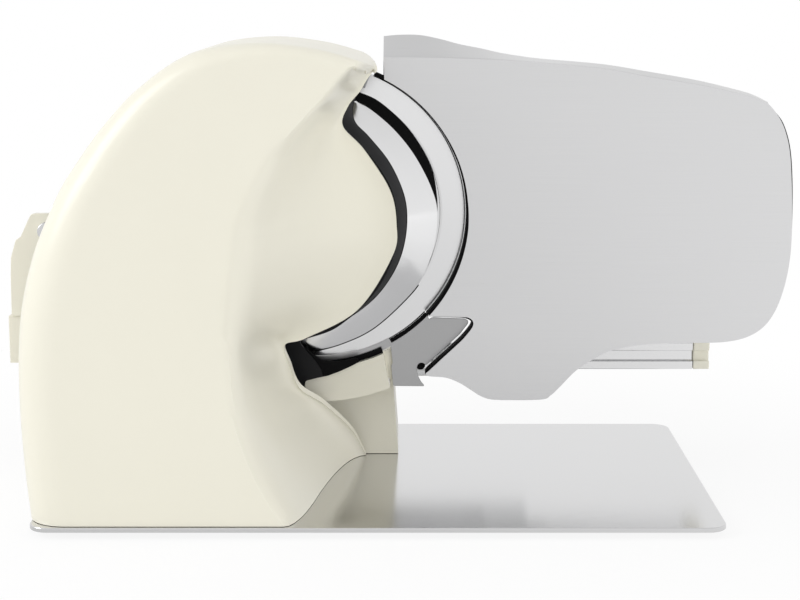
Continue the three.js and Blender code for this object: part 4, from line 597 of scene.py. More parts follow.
def from_blade(shares):
    """Shares of the blade's radius from its axis, as x and z in millimetres."""
    return np.asarray(shares, float) * BLADE_RADIUS + np.array([0, BLADE_HEIGHT])


def from_gauge(shares):
    """Shares of the gauge plate's width and height, as x and z in millimetres."""
    shares = np.asarray(shares, float)[:, :2]
    return shares * np.array([GAUGE_WIDTH, GAUGE_HEIGHT]) + np.array([GAUGE_LEFT, GAUGE_LOW])


def rounded(points, radius, steps=5, closed=True):
    """An outline with each corner replaced by a curve: it leaves each edge a distance from the corner, the
    radius or less than half the edge, and bends as a quadratic whose middle handle is the corner."""
    points = np.asarray(points, float)
    before = points - np.roll(points, 1, axis=0)
    after = np.roll(points, -1, axis=0) - points
    lengths = [np.linalg.norm(v, axis=1, keepdims=True) for v in (before, after)]
    cuts = [np.minimum(radius, length * 0.45) for length in lengths]
    start = points - before / np.maximum(lengths[0], TINY) * cuts[0]
    end = points + after / np.maximum(lengths[1], TINY) * cuts[1]
    t = np.linspace(0, 1, steps)[None, :, None]
    curve = start[:, None] * (1 - t) ** 2 + points[:, None] * 2 * t * (1 - t) + end[:, None] * t ** 2
    if not closed:
        curve[0] = points[0]
        curve[-1] = points[-1]
    return curve.reshape(-1, points.shape[1])


def quads(rows, columns, wrap_rows=False, wrap_columns=False):
    """The corner numbers of the quads of a grid of points, row by row."""
    i = np.arange(rows if wrap_rows else rows - 1)[:, None]
    j = np.arange(columns if wrap_columns else columns - 1)[None, :]
    right = (j + 1) % columns
    up = (i + 1) % rows
    corners = [i * columns + j, i * columns + right, up * columns + right, up * columns + j]
    return np.stack(np.broadcast_arrays(*corners), axis=-1).reshape(-1, 4)


def linked(name, data):
    """An object of the scene from a mesh, a light or a camera."""
    made = bpy.data.objects.new(name, data)
    bpy.context.scene.collection.objects.link(made)
    return made


def cleaned(name, mesh, clean):
    """An object from a mesh whose double points are merged, then cleaned by a function, with smooth faces
    and sharp edges."""
    work = bmesh.new()
    work.from_mesh(mesh)
    bmesh.ops.remove_doubles(work, verts=work.verts, dist=SAME_POINT)
    clean(work)
    work.to_mesh(mesh)
    work.free()
    mesh.polygons.foreach_set("use_smooth", np.ones(len(mesh.polygons), bool))
    mesh.set_sharp_from_angle(angle=math.radians(SHARP_ANGLE))
    mesh.update()
    return linked(name, mesh)


def face_out(work):
    bmesh.ops.recalc_face_normals(work, faces=work.faces)


def merge_flat(work):
    bmesh.ops.dissolve_limit(work, angle_limit=math.radians(FLAT_ANGLE), verts=work.verts, edges=work.edges)


def piece(name, points, faces):
    """A mesh object at the origin, from points in millimetres."""
    mesh = bpy.data.meshes.new(name)
    mesh.from_pydata((np.asarray(points, float).reshape(-1, 3) * MM + HOME).tolist(), [], list(faces))
    return cleaned(name, mesh, face_out)


def shell(outer, inner):
    """Points and faces of a closed sheet: two grids, and a strip round their four edges."""
    rows, columns = outer.shape[:2]
    outside = quads(rows, columns)
    inside = quads(rows, columns)[:, ::-1] + rows * columns
    edge = np.concatenate([
        np.arange(columns - 1),
        np.arange(rows - 1) * columns + columns - 1,
        (rows - 1) * columns + np.arange(columns - 1, 0, -1),
        np.arange(rows - 1, 0, -1) * columns,
    ])
    turn = np.roll(edge, -1)
    strip = np.stack([edge, edge + rows * columns, turn + rows * columns, turn], axis=1)
    points = np.concatenate([outer.reshape(-1, 3), inner.reshape(-1, 3)])
    return points, np.concatenate([outside, inside, strip]).tolist()


def normals(grid):
    """Unit normals of a grid of points: the cross product of its two directions."""
    across = np.gradient(grid, axis=1)
    up = np.gradient(grid, axis=0)
    normal = np.cross(across, up)
    return normal / np.maximum(np.linalg.norm(normal, axis=2, keepdims=True), TINY)


def lofted(sections):
    """Points and faces of a closed bar: each section is a ring, and both ends are capped."""
    count, sides = sections.shape[:2]
    faces = quads(count, sides, wrap_columns=True).tolist()
    faces.append(list(range(sides))[::-1])
    faces.append([(count - 1) * sides + k for k in range(sides)])
    return sections.reshape(-1, 3), faces


def raised(points, y):
    """Points in x and z set at a place along Y."""
    return np.stack([points[..., 0], np.broadcast_to(y, points.shape[:-1]), points[..., 1]], axis=-1)


def extruded(outline, near, far):
    """Points and faces of an outline in x and z, carried along Y."""
    outline = np.asarray(outline, float)
    return lofted(np.array([raised(outline, y) for y in (near, far)]))


def turned(profile, x, z, sides=128):
    """Points and faces of a closed profile of radius and y, turned about a line along Y through x and z."""
    profile = np.asarray(profile, float)
    angle = np.linspace(0, 2 * math.pi, sides, endpoint=False)[:, None]
    radius = np.maximum(profile[None, :, 0], 0)
    circle = np.stack([x + radius * np.cos(angle), z + radius * np.sin(angle)], axis=2)
    points = raised(circle, profile[None, :, 1])
    return points, quads(sides, len(profile), True, True).tolist()


def post(profile, x, y, sides=96):
    """Points and faces of a closed profile of radius and z, turned about an upright line through x and y."""
    points, faces = turned(profile, 0, 0, sides)
    return np.stack([x + points[..., 0], y + points[..., 2], points[..., 1]], axis=2), faces


def dress(made, node, finish, soften=None, segments=3, others=()):
    """Gives a piece its finish, its body and, if asked, softened edges. It stands for its node and for the
    others that are named."""
    made.data.materials.clear()
    made.data.materials.append(MATERIALS[finish])
    if soften:
        bevel = made.modifiers.new("softened_edges", "BEVEL")
        bevel.width = soften
        bevel.segments = segments
        bevel.limit_method = "ANGLE"
        bevel.angle_limit = math.radians(BEVEL_ANGLE)
    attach(made, NODES[node]["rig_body"])
    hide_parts(node, *others)
    return made


def softened(node, finish, soften, segments):
    """A copy of a solid with its flat triangles merged into faces and its edges rounded."""
    made = cleaned(node + "_finished", NODES[node].data.copy(), merge_flat)
    return dress(made, node, finish, soften, segments)


# Pieces
# Knob: the height of its ridge, the number of flutes and their depth
KNOB_RIDGE = 9
FLUTES = 36
FLUTE_DEPTH = 0.35


def rectangle(half, low, high):
    """An outline in x and z that reaches half a width to each side."""
    return np.array([[-half, low], [half, low], [half, high], [-half, high]])


def housing_grid(softness):
    """The shell's outer skin. Each row runs from the back edge round the left side (a straight wall, then a
    quarter circle) across the flat face to the crease. Then it sinks to the trim edge by a depth times
    1 - (1 - s) squared, where s is the share of the way. About the crease the depth starts as a square of the
    distance, so that the line is soft."""
    rows = spline(HOUSING_ROW_SHARES, HOUSING_ROWS)
    size = np.array([HOUSING_REACH, HOUSING_HEIGHT])
    left, crease, trim = [rows[:, None, k:k + 2] * size for k in (0, 2, 4)]
    rounding = rows[:, 6][:, None] * HOUSING_ROUNDING
    depth = rows[:, 7][:, None] * SCOOP_DEPTH
    reach = crease - left
    along = reach / np.linalg.norm(reach, axis=2, keepdims=True)

    wall = np.linspace(0, 1, WALL_COLUMNS, endpoint=False)[None, :]
    side = np.broadcast_to(left, (len(rows), WALL_COLUMNS, 2))
    side_y = -HOUSING_BACK + (HOUSING_BACK - HOUSING_NEAR + rounding) * wall

    angle = np.linspace(0, math.pi / 2, ROUND_COLUMNS)[None, :]
    edge = left + along * (rounding * (1 - np.cos(angle)))[..., None]
    edge_y = -HOUSING_NEAR + rounding * (1 - np.sin(angle))

    start = left + along * rounding[..., None]
    flat_length = np.linalg.norm(crease - start, axis=2)
    scoop_length = np.linalg.norm(trim - crease, axis=2)
    soft = np.minimum(softness, scoop_length * CREASE_LIMIT)

    share = np.linspace(0, 1, FLAT_COLUMNS)[None, 1:]
    flat = start + (crease - start) * share[..., None]
    into = 1 - (1 - np.linspace(0, 1, SCOOP_COLUMNS)[None, 1:]) ** SCOOP_SPACING
    scoop = crease + (trim - crease) * into[..., None]

    def sunk(distance):
        far = np.clip(np.maximum(distance, soft) / scoop_length, 0, 1)
        full = depth * (1 - (1 - far) ** 2)
        eased = np.clip((distance + soft) / (2 * soft), 0, 1) ** 2
        return np.where(distance < soft, full * eased, full)

    edge_y = edge_y + sunk(-flat_length - rounding * np.cos(angle))
    flat_y = -HOUSING_NEAR + sunk((share - 1) * flat_length)
    scoop_y = -HOUSING_NEAR + sunk(into * scoop_length)
    across = np.concatenate([side, edge, flat, scoop], axis=1)
    along_y = np.concatenate([side_y, edge_y, flat_y, scoop_y], axis=1)
    return np.stack([across[..., 0], along_y, across[..., 1] + GAP], axis=2)


def housing_end(last):
    """Rows that close the shell past its last row. By an angle from 0 to 90 degrees, each point nears the
    line between the row's two ends as the cosine. That line moves out as the sine and falls as 1 - cosine."""
    angle = np.linspace(0, math.pi / 2, END_ROWS + 1)[1:, None, None]
    share = np.linspace(0, 1, len(last))[None, :, None]
    chord, way, fall = [a * (1 - share) + b * share for a, b in (last[[0, -1]], END_WAY, END_FALL)]
    return chord + (last - chord) * np.cos(angle) + way * np.sin(angle) + fall * (1 - np.cos(angle))


def build_housing(sizes):
    grid = housing_grid(sizes.crease_radius / MM)
    outer = np.concatenate([grid, housing_end(grid[-1])])
    wall = np.full((len(outer), 1, 1), float(HOUSING_WALL))
    wall[-END_ROWS:, 0, 0] = np.linspace(HOUSING_WALL, END_WALL, END_ROWS)
    inner = outer - normals(outer) * wall
    inner[0, :, 2] = GAP
    inner[:, 0, 1] = -HOUSING_BACK
    made = piece("housing_shell", *shell(outer, inner))
    dress(made, "housing", "cream", SHELL_EDGE, 2, others=["housing_scoop"])


def deflector_lines():
    """The plate's outer and inner edges and the carrier's rim as x and z, from the top to the lower end."""
    return [spline(from_blade(shares), DEFLECTOR_STEPS + 1)
            for shares in (PLATE_OUTER_SHARES, PLATE_INNER_SHARES, CARRIER_RIM_SHARES)]


def plate_fall(points):
    """How far the plate's points stand in front of its outer edge: the least distance from that edge times a
    pitch, which lessens towards the lower end. The points' first axis runs along the plate."""
    edge = spline(from_blade(PLATE_OUTER_SHARES), FALL_STEPS)
    distance = np.linalg.norm(points[..., None, :] - edge, axis=-1).min(axis=-1)
    pitch = np.interp(np.linspace(0, 1, len(points)), *np.array(DEFLECTOR_PITCHES).T)
    return (distance.T * pitch).T


def build_deflector_plate(sizes):
    """A cone strip: from the outer edge, v runs to the inner edge while y falls by the plate's fall, with a
    crown of 4 v (1 - v). Towards the lower end it narrows as a circle does, which rounds its corners."""
    outer, inner, _ = deflector_lines()
    count = len(outer)
    left_over = np.linspace(1, 0, count) * np.linalg.norm(np.diff(outer, axis=0), axis=1).sum()
    width = np.linalg.norm(outer - inner, axis=1)
    reach = np.maximum(DEFLECTOR_CORNER - left_over, 0)
    bite = DEFLECTOR_CORNER - np.sqrt(np.maximum(DEFLECTOR_CORNER ** 2 - reach ** 2, 0))
    trim = (bite / width)[:, None]
    v = np.linspace(0, 1, DEFLECTOR_COLUMNS)[None, :] * (1 - 2 * trim) + trim
    flat = outer[:, None] + (inner - outer)[:, None] * v[..., None]
    crown = sizes.plate_crown / MM * 4 * v * (1 - v)
    under = DEFLECTOR_FRONT - plate_fall(flat) - crown
    made = piece("deflector_sheet", *shell(raised(flat, under - DEFLECTOR_SHEET), raised(flat, under)))
    dress(made, "deflector_plate", "polished", SHEET_EDGE, 2)


def flat_band(edge, outset, width):
    """The sections of a flat band before the blade: a line moved away from the blade's axis by an outset, and
    the same line a width nearer to the axis."""
    way = edge - np.array([0, BLADE_HEIGHT])
    way = way / np.linalg.norm(way, axis=1, keepdims=True)
    edge = edge + way * outset
    under = edge - way * width
    return np.stack([raised(edge, SHADE_STRIP_NEAR), raised(edge, SHADE_STRIP_FAR), raised(under, SHADE_STRIP_FAR),
                     raised(under, SHADE_STRIP_NEAR)], axis=1)


def build_carrier(sizes):
    """The black carrier: an eleven-sided section that follows the deflector, a foot below its end with an
    apron beside it and a band along the blade's lower edge. Two black strips are painted shade: a flat field
    before the blade's upper part, where the blade lies in shade, and a narrow painted shadow line along the
    plate's lower half."""
    outer, inner, rim = deflector_lines()
    drop = plate_fall(inner)[CARRIER_START:]
    outer, inner, rim = [line[CARRIER_START:] for line in (outer, inner, rim)]
    width = np.linalg.norm(inner - outer, axis=1, keepdims=True)
    inwards = (inner - outer) / width
    ledge = inner + (outer - inner) * 0.5
    rim_y = -HOUSING_NEAR + SCOOP_DEPTH * RIM_DEPTH_SHARE + HOUSING_WALL + GAP
    seat = DEFLECTOR_FRONT + GAP * 3
    wall_near = -HOUSING_BACK - SEAT_GAP - GAP
    hugging = inner + inwards * GAP
    behind = inner + inwards * CARRIER_WALL
    lip = inner + inwards * CARRIER_LIP
    ledge_y = np.minimum(seat - drop / 2 + CARRIER_WALL / 2, DEFLECTOR_FRONT + 0.5)
    section = [
        raised(rim, rim_y),
        raised(hugging, DEFLECTOR_FRONT - drop - DEFLECTOR_SHEET),
        raised(hugging, seat - drop),
        raised(ledge, seat - drop / 2),
        raised(ledge, ledge_y),
        raised(behind, np.minimum(seat - drop + CARRIER_WALL, DEFLECTOR_FRONT)),
        raised(behind, wall_near),
        raised(lip, wall_near),
        raised(lip, wall_near - LIP_SHEET),
        raised(inner + inwards * LIP_START, wall_near - LIP_SHEET),
        raised(rim + inwards * CARRIER_WALL, rim_y),
    ]
    made = piece("deflector_frame", *lofted(np.stack(section, axis=1)))
    dress(made, "deflector_carrier", "satin", sizes.edge_softness)
    foot = rounded(from_blade(CARRIER_FOOT_SHARES) + FOOT_SHIFT, FOOT_CORNER)
    made = piece("deflector_foot", *extruded(foot, FOOT_NEAR, FOOT_FAR))
    dress(made, "deflector_carrier", "black", sizes.edge_softness * 2)

    low, high = CARRIER_BAND
    start, end = CARRIER_BAND_ANGLES
    corners = [arc(high - depth, end - turn, end - turn, 1) for depth, turn in BAND_CORNERS]
    strip = [arc(low, start, end, 60), *corners, arc(high, end - BAND_TURN, start, 60)]
    strip = np.concatenate(strip) + BAND_SHIFT
    apron = rounded(from_blade(CARRIER_APRON_SHARES), APRON_CORNER)
    # Painted shade: the black field and the shadow line under the plate's lower edge
    keys = spline(SHADE_FIELD_KEYS, 120)
    field = flat_band(from_blade(keys[:, :2]), 0, keys[:, 2:])
    shadow_line = flat_band(outer[SHADOW_LINE_START:], SHADOW_LINE_WIDTH, SHADOW_LINE_WIDTH * 2)
    parts = {
        "blade_band": extruded(strip, BAND_NEAR, BAND_FAR),
        "column_apron": extruded(apron, APRON_NEAR, APRON_FAR),
        "painted_shade_field": lofted(field), "painted_shadow_line": lofted(shadow_line),
    }
    for name, shape in parts.items():
        dress(piece(name, *shape), "deflector_carrier", "shaded_black", TRIM_EDGE, 2)


def build_blade():
    """The blade turned about its axis: a flat disc, a shallow step, a ground bevel and a steep edge."""
    face = -BLADE_THICKNESS
    slope = np.linspace([BEVEL_START, face], [BEVEL_END, face + BEVEL_RISE], 12)
    start, end, depth = BLADE_STEP
    front = [[BLADE_BORE, face], [BLADE_MIDDLE, face], [start, face], [end, face + depth]]
    edge = [[BLADE_RADIUS, y] for y in BLADE_EDGE]
    back = [[BLADE_RADIUS - BLADE_RELIEF, 0], [BLADE_MIDDLE, 0], [BLADE_BORE, 0]]
    profile = np.concatenate([front, slope, edge, back])
    dress(piece("blade_disc", *turned(profile, 0, BLADE_HEIGHT, 360)), "blade", "blade")


def build_guard():
    """The lower guard sheet: an outline with small rounded corners and an arc that follows the blade. Behind
    it stand a black strip along the arc, painted shade that fills the gap at the blade's edge, and a round
    stop in its bay. A steel skirt closes the gap under the blade."""
    radius, start, end = GUARD_ARC
    outline = np.concatenate([rounded(from_blade(GUARD_SHARES), GUARD_CORNER), arc(radius, start, end, 40)])
    made = piece("guard_sheet", *extruded(outline, GUARD_NEAR, GUARD_FAR))
    dress(made, "guard_plate", "guard", TRIM_EDGE, 2)
    inner = BLADE_RADIUS + EDGE_CLEARANCE
    # Painted shade: a black strip in the gap between the blade's edge and the guard's arc
    strip = np.concatenate([arc(inner, start, end, 40), arc(radius + GUARD_STAND, end, start, 40)])
    dress(piece("guard_gap_shade", *extruded(strip, GUARD_FAR, 0)), "guard_plate", "shaded_black")
    inside, outside, low, high = SKIRT_ARC
    skirt = np.concatenate([arc(inside, low, high, 40), arc(outside, high, low, 40)])
    dress(piece("guard_skirt", *extruded(skirt, SKIRT_NEAR, SKIRT_FAR)), "guard_plate", "guard")
    x, z, size = GUARD_STOP
    stop = arc(size, 0, 345, 24) + np.array([x, z - BLADE_HEIGHT])
    dress(piece("guard_stop", *extruded(stop, GUARD_FAR, 0)), "guard_plate", "shaded_black")


def set_back(line, distance):
    """A line of x and z moved by a distance to the right of its own direction."""
    along = np.gradient(line, axis=0)
    along /= np.maximum(np.linalg.norm(along, axis=1, keepdims=True), TINY)
    return line + np.stack([along[:, 1], -along[:, 0]], axis=1) * distance[:, None]


def gauge_edges():
    """The gauge sheet's right and left edges and the black body's, as x and z from the lowest point to the
    top. On the blade's side the sheet stands back from the body behind it, more so lower down."""
    right = spline(from_gauge(GAUGE_RIGHT_SHARES), EDGE_STEPS)
    tail = rounded(from_blade(GAUGE_TAIL_SHARES), TAIL_CORNER, 6, closed=False)
    start = BLADE_HEIGHT - BLADE_RADIUS * TAIL_LEVEL
    shy = set_back(tail, TAIL_SETBACK * np.clip((tail[:, 1] - start) / TAIL_EASE, 0, 1))
    angle = np.linspace(*GAUGE_ARC, RING_STEPS)
    circle = arc(GAUGE_RADIUS, *GAUGE_ARC, RING_STEPS)
    circle = set_back(circle, np.interp(angle, *np.array(SHEET_SETBACK, float).T))
    close = arc(BLADE_RADIUS + EDGE_CLEARANCE, *GAUGE_ARC, RING_STEPS)
    crown = GAUGE_LOW + GAUGE_HEIGHT
    lines = []
    for edge, ring, (low, high) in ((shy, circle, SHEET_MARGINS), (tail, close, (0, 0))):
        ring = ring[ring[:, 0] > GAUGE_LEFT + low]
        top = np.array([[GAUGE_LEFT + low, ring[-1, 1] + GAP], [GAUGE_LEFT + high, crown - BODY_DROP],
                        [GAUGE_LEFT, crown]])
        lines.append(np.concatenate([edge[edge[:, 1] < ring[0, 1]], ring, top]))
    share = (right[:, 1] - GAUGE_LOW) / GAUGE_HEIGHT
    first, rise, last, fall = RIGHT_PULL_SHARES
    pull = RIGHT_PULL * np.clip((share - first) / rise, 0, 1) * np.clip((last - share) / fall, 0, 1)
    drop = BODY_DROP * np.clip((share - BODY_DROP_SHARES[0]) / BODY_DROP_SHARES[1], 0, 1)
    narrow = right - np.stack([pull, 0 * pull], axis=1)
    lowered = right - np.stack([0 * drop, drop], axis=1)
    four = (narrow, lines[0], lowered, lines[1][:-1])
    return [line[np.argsort(line[:, 1], kind="stable")] for line in four]


def level_rows(left, right, near, far):
    """A plate between two edges, as level rows of points from the left edge to the right one."""
    levels = np.unique(np.concatenate([right[:, 1], left[:, 1]]).round(3))
    start = np.interp(levels, left[:, 1], left[:, 0])
    end = np.interp(levels, right[:, 1], right[:, 0])
    x = start[:, None] + (end - start)[:, None] * np.linspace(0, 1, LEVEL_COLUMNS)[None, :]
    front = raised(np.stack([x, np.broadcast_to(levels[:, None], x.shape)], axis=2), near)
    return shell(front, front + np.array([0, far - near, 0]))


def build_gauge():
    """The gauge's steel sheet before a black body, with a horn of the body round the blade, and the plain
    metal plate that the food slides on. The sheet's lip is a grid along x: from the fold a short curve turns
    back, then a straight slope rises to the crest."""
    right, left, body_right, body_left = gauge_edges()
    back = GAUGE_NEAR + GAUGE_SKIN
    dress(piece("gauge_sheet", *level_rows(left, right, GAUGE_NEAR, back)), "gauge_face", "gauge")
    for name, near, far, finish in (("gauge_body", back, -GAUGE_TABLE, "shaded_black"),
                                    ("gauge_table", -GAUGE_TABLE, 0, "aluminium")):
        dress(piece(name, *level_rows(body_left, body_right, near, far)), "gauge_plate", finish)
    start, end, width = HORN
    close = BLADE_RADIUS + EDGE_CLEARANCE
    horn = np.concatenate([arc(close, start, end, 12), arc(close + width, end, start, 12)])
    dress(piece("gauge_horn", *extruded(horn, back, 0)), "gauge_plate", "shaded_black")

    crest = spline(np.asarray(LIP_SHARES, float), 160)
    line = from_gauge(crest)
    top = right[np.argsort(right[:, 0])]
    upper = top[top[:, 1] > GAUGE_LOW + GAUGE_HEIGHT * 0.8]
    fold = np.interp(line[:, 0], upper[:, 0], upper[:, 1])
    rise = np.maximum(line[:, 1] - fold, LIP_LEAST)[:, None]
    reach = (LIP_DEPTH * crest[:, 2])[:, None]
    t = np.linspace(0, 1, 9)[None, :]
    slope = np.linspace(LIP_BEND, 1, 8)[None, 1:]
    share = np.concatenate([LIP_BEND * t ** 2, slope], axis=1)
    tuck = np.concatenate([LIP_TUCK * (1 - t) ** 2, 0 * slope], axis=1)
    y = GAUGE_NEAR + reach * share
    z = fold[:, None] - tuck + rise * share
    x = np.broadcast_to(line[:, 0][:, None], y.shape)
    skin = np.stack([x, y, z], axis=2)
    under = skin + np.array([0, LIP_THICKNESS, -LIP_THICKNESS])
    dress(piece("gauge_lip", *shell(skin, under)), "gauge_face", "gauge")


def build_feet():
    """Rubber feet: a low turned pad with a rounded rim and a shallow hollow under it."""
    for k in range(1, 5):
        low, high, middle, radius = in_millimetres(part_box(f"foot_{k}"))
        bottom, top = low[2], high[2]
        hollow, chamfer = bottom + 0.8, 1.2
        outline = [[0, hollow], [radius * 0.55, hollow], [radius * 0.62, bottom], [radius - 0.8, bottom],
                   [radius, bottom + chamfer], [radius, top], [0, top]]
        profile = rounded(outline, 0.8, 4)
        made = piece(f"foot_pad_{k}", *post(profile, middle[0], middle[1]))
        dress(made, f"foot_{k}", "rubber")


def build_cover():
    """The disc over the blade's food side: a flat rim, a raised field and a hollow round the screw."""
    seat, crown, bore = 0.9, 3.3, 3.3
    over = [[78, seat + 1.0], [77.5, seat + 1.6], [74, crown + 1.6], [28, crown + 1.6], [25, crown + 1.2],
            [22, seat + 1.7], [bore, seat + 1.6]]
    under = [[bore, seat], [26, seat], [30, crown], [72.5, crown], [78, seat]]
    profile = rounded(over + under, 1.6, 5)
    dress(piece("cover_disc", *turned(profile, 0, BLADE_HEIGHT, 256)), "blade_cover", "cover")


def build_knob():
    """The thickness knob: a fluted disc, a ridge across it and a pale mark on the ridge."""
    low, high, (x, _, z), radius = in_millimetres(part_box("thickness_knob"))
    near, far = low[1], high[1]
    skirt = near + (far - near) / 3
    disc = rounded([[0, near], [radius, near], [radius, skirt - 1], [radius * 0.84, skirt + 1.6],
                    [radius * 0.78, far - KNOB_RIDGE], [0, far - KNOB_RIDGE]], 1.6, 5)
    points, faces = turned(disc, x, z, 144)
    angle = np.arctan2(points[..., 2] - z, points[..., 0] - x)
    reach = np.hypot(points[..., 0] - x, points[..., 2] - z)
    flute = np.where(reach > radius * 0.9, FLUTE_DEPTH * np.cos(angle * FLUTES), 0)
    scale = 1 - np.maximum(flute, 0) / np.maximum(reach, 1)
    points[..., 0] = x + (points[..., 0] - x) * scale
    points[..., 2] = z + (points[..., 2] - z) * scale
    dress(piece("knob_disc", points, faces), "thickness_knob", "black")
    reach = radius * 0.78
    ridge = rounded(np.array([x, z]) + rectangle(3.5, -reach, reach), 2)
    dress(piece("knob_ridge", *extruded(ridge, skirt, far)), "thickness_knob", "black", KNOB_EDGE)
    mark = rounded(np.array([x, z]) + rectangle(0.6, reach * 0.35, reach * 0.93), 0.4)
    dress(piece("knob_mark", *extruded(mark, far - 0.2, far - 0.02)), "thickness_knob", "cream")


def build_controls():
    """The thickness knob, and the two push buttons with hollowed faces."""
    build_knob()
    for node in ("start_button", "stop_button"):
        low, high, (x, _, z), _ = in_millimetres(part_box(node))
        near, far = low[1], high[1]
        profile = rounded([[0, near], [9, near], [9, near + 1.8], [7, near + 1.8], [7, far - 0.6], [5.4, far],
                           [3.5, far - 0.5], [0, far - 0.7]], 0.6, 4)
        dress(piece(node + "_cap", *turned(profile, x, z, 96)), node, "black")


def build_grip():
    """The pusher's turned grip: a neck and a flattened ball on a smooth profile."""
    low, high, (x, _, z), radius = in_millimetres(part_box("pusher_grip"))
    length = high[1] - low[1]
    keys = [[7.6, 0], [7.0, length * 0.1], [7.2, length * 0.24], [radius * 0.8, length * 0.42],
            [radius, length * 0.62], [radius * 0.93, length * 0.8], [radius * 0.62, length * 0.95],
            [0, length]]
    profile = np.concatenate([[[0, 0]], spline(keys, 60)]) + np.array([0, low[1]])
    dress(piece("grip_ball", *turned(profile, x, z, 128)), "pusher_grip", "cream")


# Solids that keep their shape: the castings with a share of the castings' softness, the rest with a finish
CASTINGS = {
    "front_body": 1, "blade_column": 0.5, "carriage_slider": 1, "end_casting": 1, "rail_cap_right": 0.3,
    "rail_cap_left": 0.3,
}
PLATES = {
    "tray": "steel", "pusher_arm": "aluminium", "pusher_plate": "aluminium", "gauge_arm": "aluminium",
    "base_plate": "base", "rail_beam": "rail", "axle_bracket": "casting", "frame_wall": "casting",
    "ring_guard": "casting",
}
WORKS = {
    "cover_screw": "polished", "cable_inlet": "rubber", "control_board": "board", "blade_screw_1": "steel",
    "blade_screw_2": "steel", "blade_screw_3": "steel", "blade_hub": "casting", "drive_pulley": "black",
    "bearing_near": "steel", "bearing_far": "steel", "blade_axle": "steel", "drive_belt": "rubber",
    "motor": "steel", "motor_mount": "casting", "motor_shaft": "steel", "motor_pulley": "black",
    "motor_fan": "black", "stop_spring": "steel", "start_spring": "steel", "cam_barrel": "aluminium",
    "gauge_slider": "aluminium", "guide_rod_left": "polished", "guide_rod_right": "polished",
    "follower_pin": "steel", "pusher_rod": "polished", "pusher_sleeve": "black",
}
# The push buttons' springs with the joints that press them; each gets a mesh of its own
SPRINGS = {"start_spring": "start_press", "stop_spring": "stop_press"}


def build_castings(sizes):
    for node, share in CASTINGS.items():
        softened(node, "cream", sizes.casting_softness * share, 4)


def build_plates(sizes):
    for node, finish in PLATES.items():
        softened(node, finish, sizes.edge_softness, 3)


def build_works(sizes):
    for node, finish in WORKS.items():
        made = softened(node, finish, sizes.edge_softness / 2, 2)
        if node in SPRINGS:
            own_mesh(made)


# Studio
LIGHTS_AIM = (0, 0, 0.12)
# Lamps: place and size in metres, and whether bright surfaces mirror them
LAMPS = {
    "key": ((-1.85, -0.7, 1.15), (1.2, 1.2), True), "fill": ((1.7, -1.2, 0.2), (1.0, 1.2), False),
    "top": ((0.1, 0.2, 1.9), (1.6, 1.2), False),
}
FLOOR_HALF = 6.0
# Where a change starts and ends in metres, or as a share of the sky's height, then its two levels
SKY_MIRRORED = (0.0, 1.0, 0.97, 0.76)
FLOOR_SEEN = (0.2, 0.55, 0.86, 1.0)
FLOOR_MIRRORED = (-0.15, 0.6, 0.74, 1.05)


def area_light(name, power):
    """A soft box that faces the middle of the machine."""
    place, size, mirrored = LAMPS[name]
    light = bpy.data.lights.new(name, "AREA")
    light.shape = "RECTANGLE"
    light.size, light.size_y = size
    light.energy = power
    made = linked(name, light)
    made.location = place
    aim = np.array(LIGHTS_AIM) - np.array(place, float)
    pitch = math.atan2(aim[2], math.hypot(aim[0], aim[1])) + math.pi / 2
    made.rotation_euler = (pitch, 0, math.atan2(-aim[0], aim[1]))
    made.visible_glossy = mirrored


def build_world(studio):
    """Even room light. The camera sees white, and mirrors see a white that dims a little overhead."""
    world = bpy.data.worlds.new("studio")
    bpy.context.scene.world = world
    sky = Paint(world, "ShaderNodeOutputWorld")
    camera, mirror = sky.rays()
    height = sky.parts(sky.node("ShaderNodeTexCoord", "Generated"))[2]
    shown = sky.ramp(height, *SKY_MIRRORED)
    strength = camera + (1 - camera) * (mirror * shown + (1 - mirror) * studio.room_level)
    sky.surface(sky.node("ShaderNodeBackground", 0, None, Color=(1, 1, 1, 1), Strength=strength))


def build_floor(studio):
    """A plain floor. The camera sees white that keeps a soft shadow near the machine. Mirrors see a white
    that dims a little towards the left."""
    mesh = bpy.data.meshes.new("floor")
    corners = rectangle(FLOOR_HALF, -FLOOR_HALF, FLOOR_HALF)
    mesh.from_pydata([(x, y, 0) for x, y in corners], [], [(0, 1, 2, 3)])
    floor = linked("floor", mesh)
    material = bpy.data.materials.new("floor_paper")
    paint = Paint(material)
    camera, mirror = paint.rays()
    place = paint.node("ShaderNodeTexCoord", "Object")
    away = paint.node("ShaderNodeVectorMath", "Value", {"operation": "LENGTH"}, _0=place)
    white = paint.ramp(away, *FLOOR_SEEN)
    shown = paint.ramp(paint.parts(place)[0], *FLOOR_MIRRORED)
    strength = camera + (1 - camera) * shown
    glow = paint.node("ShaderNodeEmission", 0, None, Color=(1, 1, 1, 1), Strength=strength)
    paper = paint.node("ShaderNodeBsdfDiffuse", 0, None, Color=(*studio.floor_colour, 1))
    share = camera * white + (1 - camera) * (mirror * 0.85)
    paint.surface(paint.node("ShaderNodeMixShader", 0, None, _0=share, _1=paper, _2=glow))
    mesh.materials.append(material)


def build_camera():
    """The photograph's view: focal length and place in the slicer's own frame."""
    camera = bpy.data.cameras.new("photograph_view")
    camera.sensor_width = SENSOR_WIDTH
    camera.lens = FOCAL_PIXELS / IMAGE_WIDTH * SENSOR_WIDTH
    camera.clip_start = 0.01
    made = linked("photograph_view", camera)
    made.location = np.array(CAMERA_PLACE) * MM + HOME
    made.rotation_euler = (math.radians(90 - CAMERA_TILT), 0, 0)
    bpy.context.scene.camera = made


# Operators


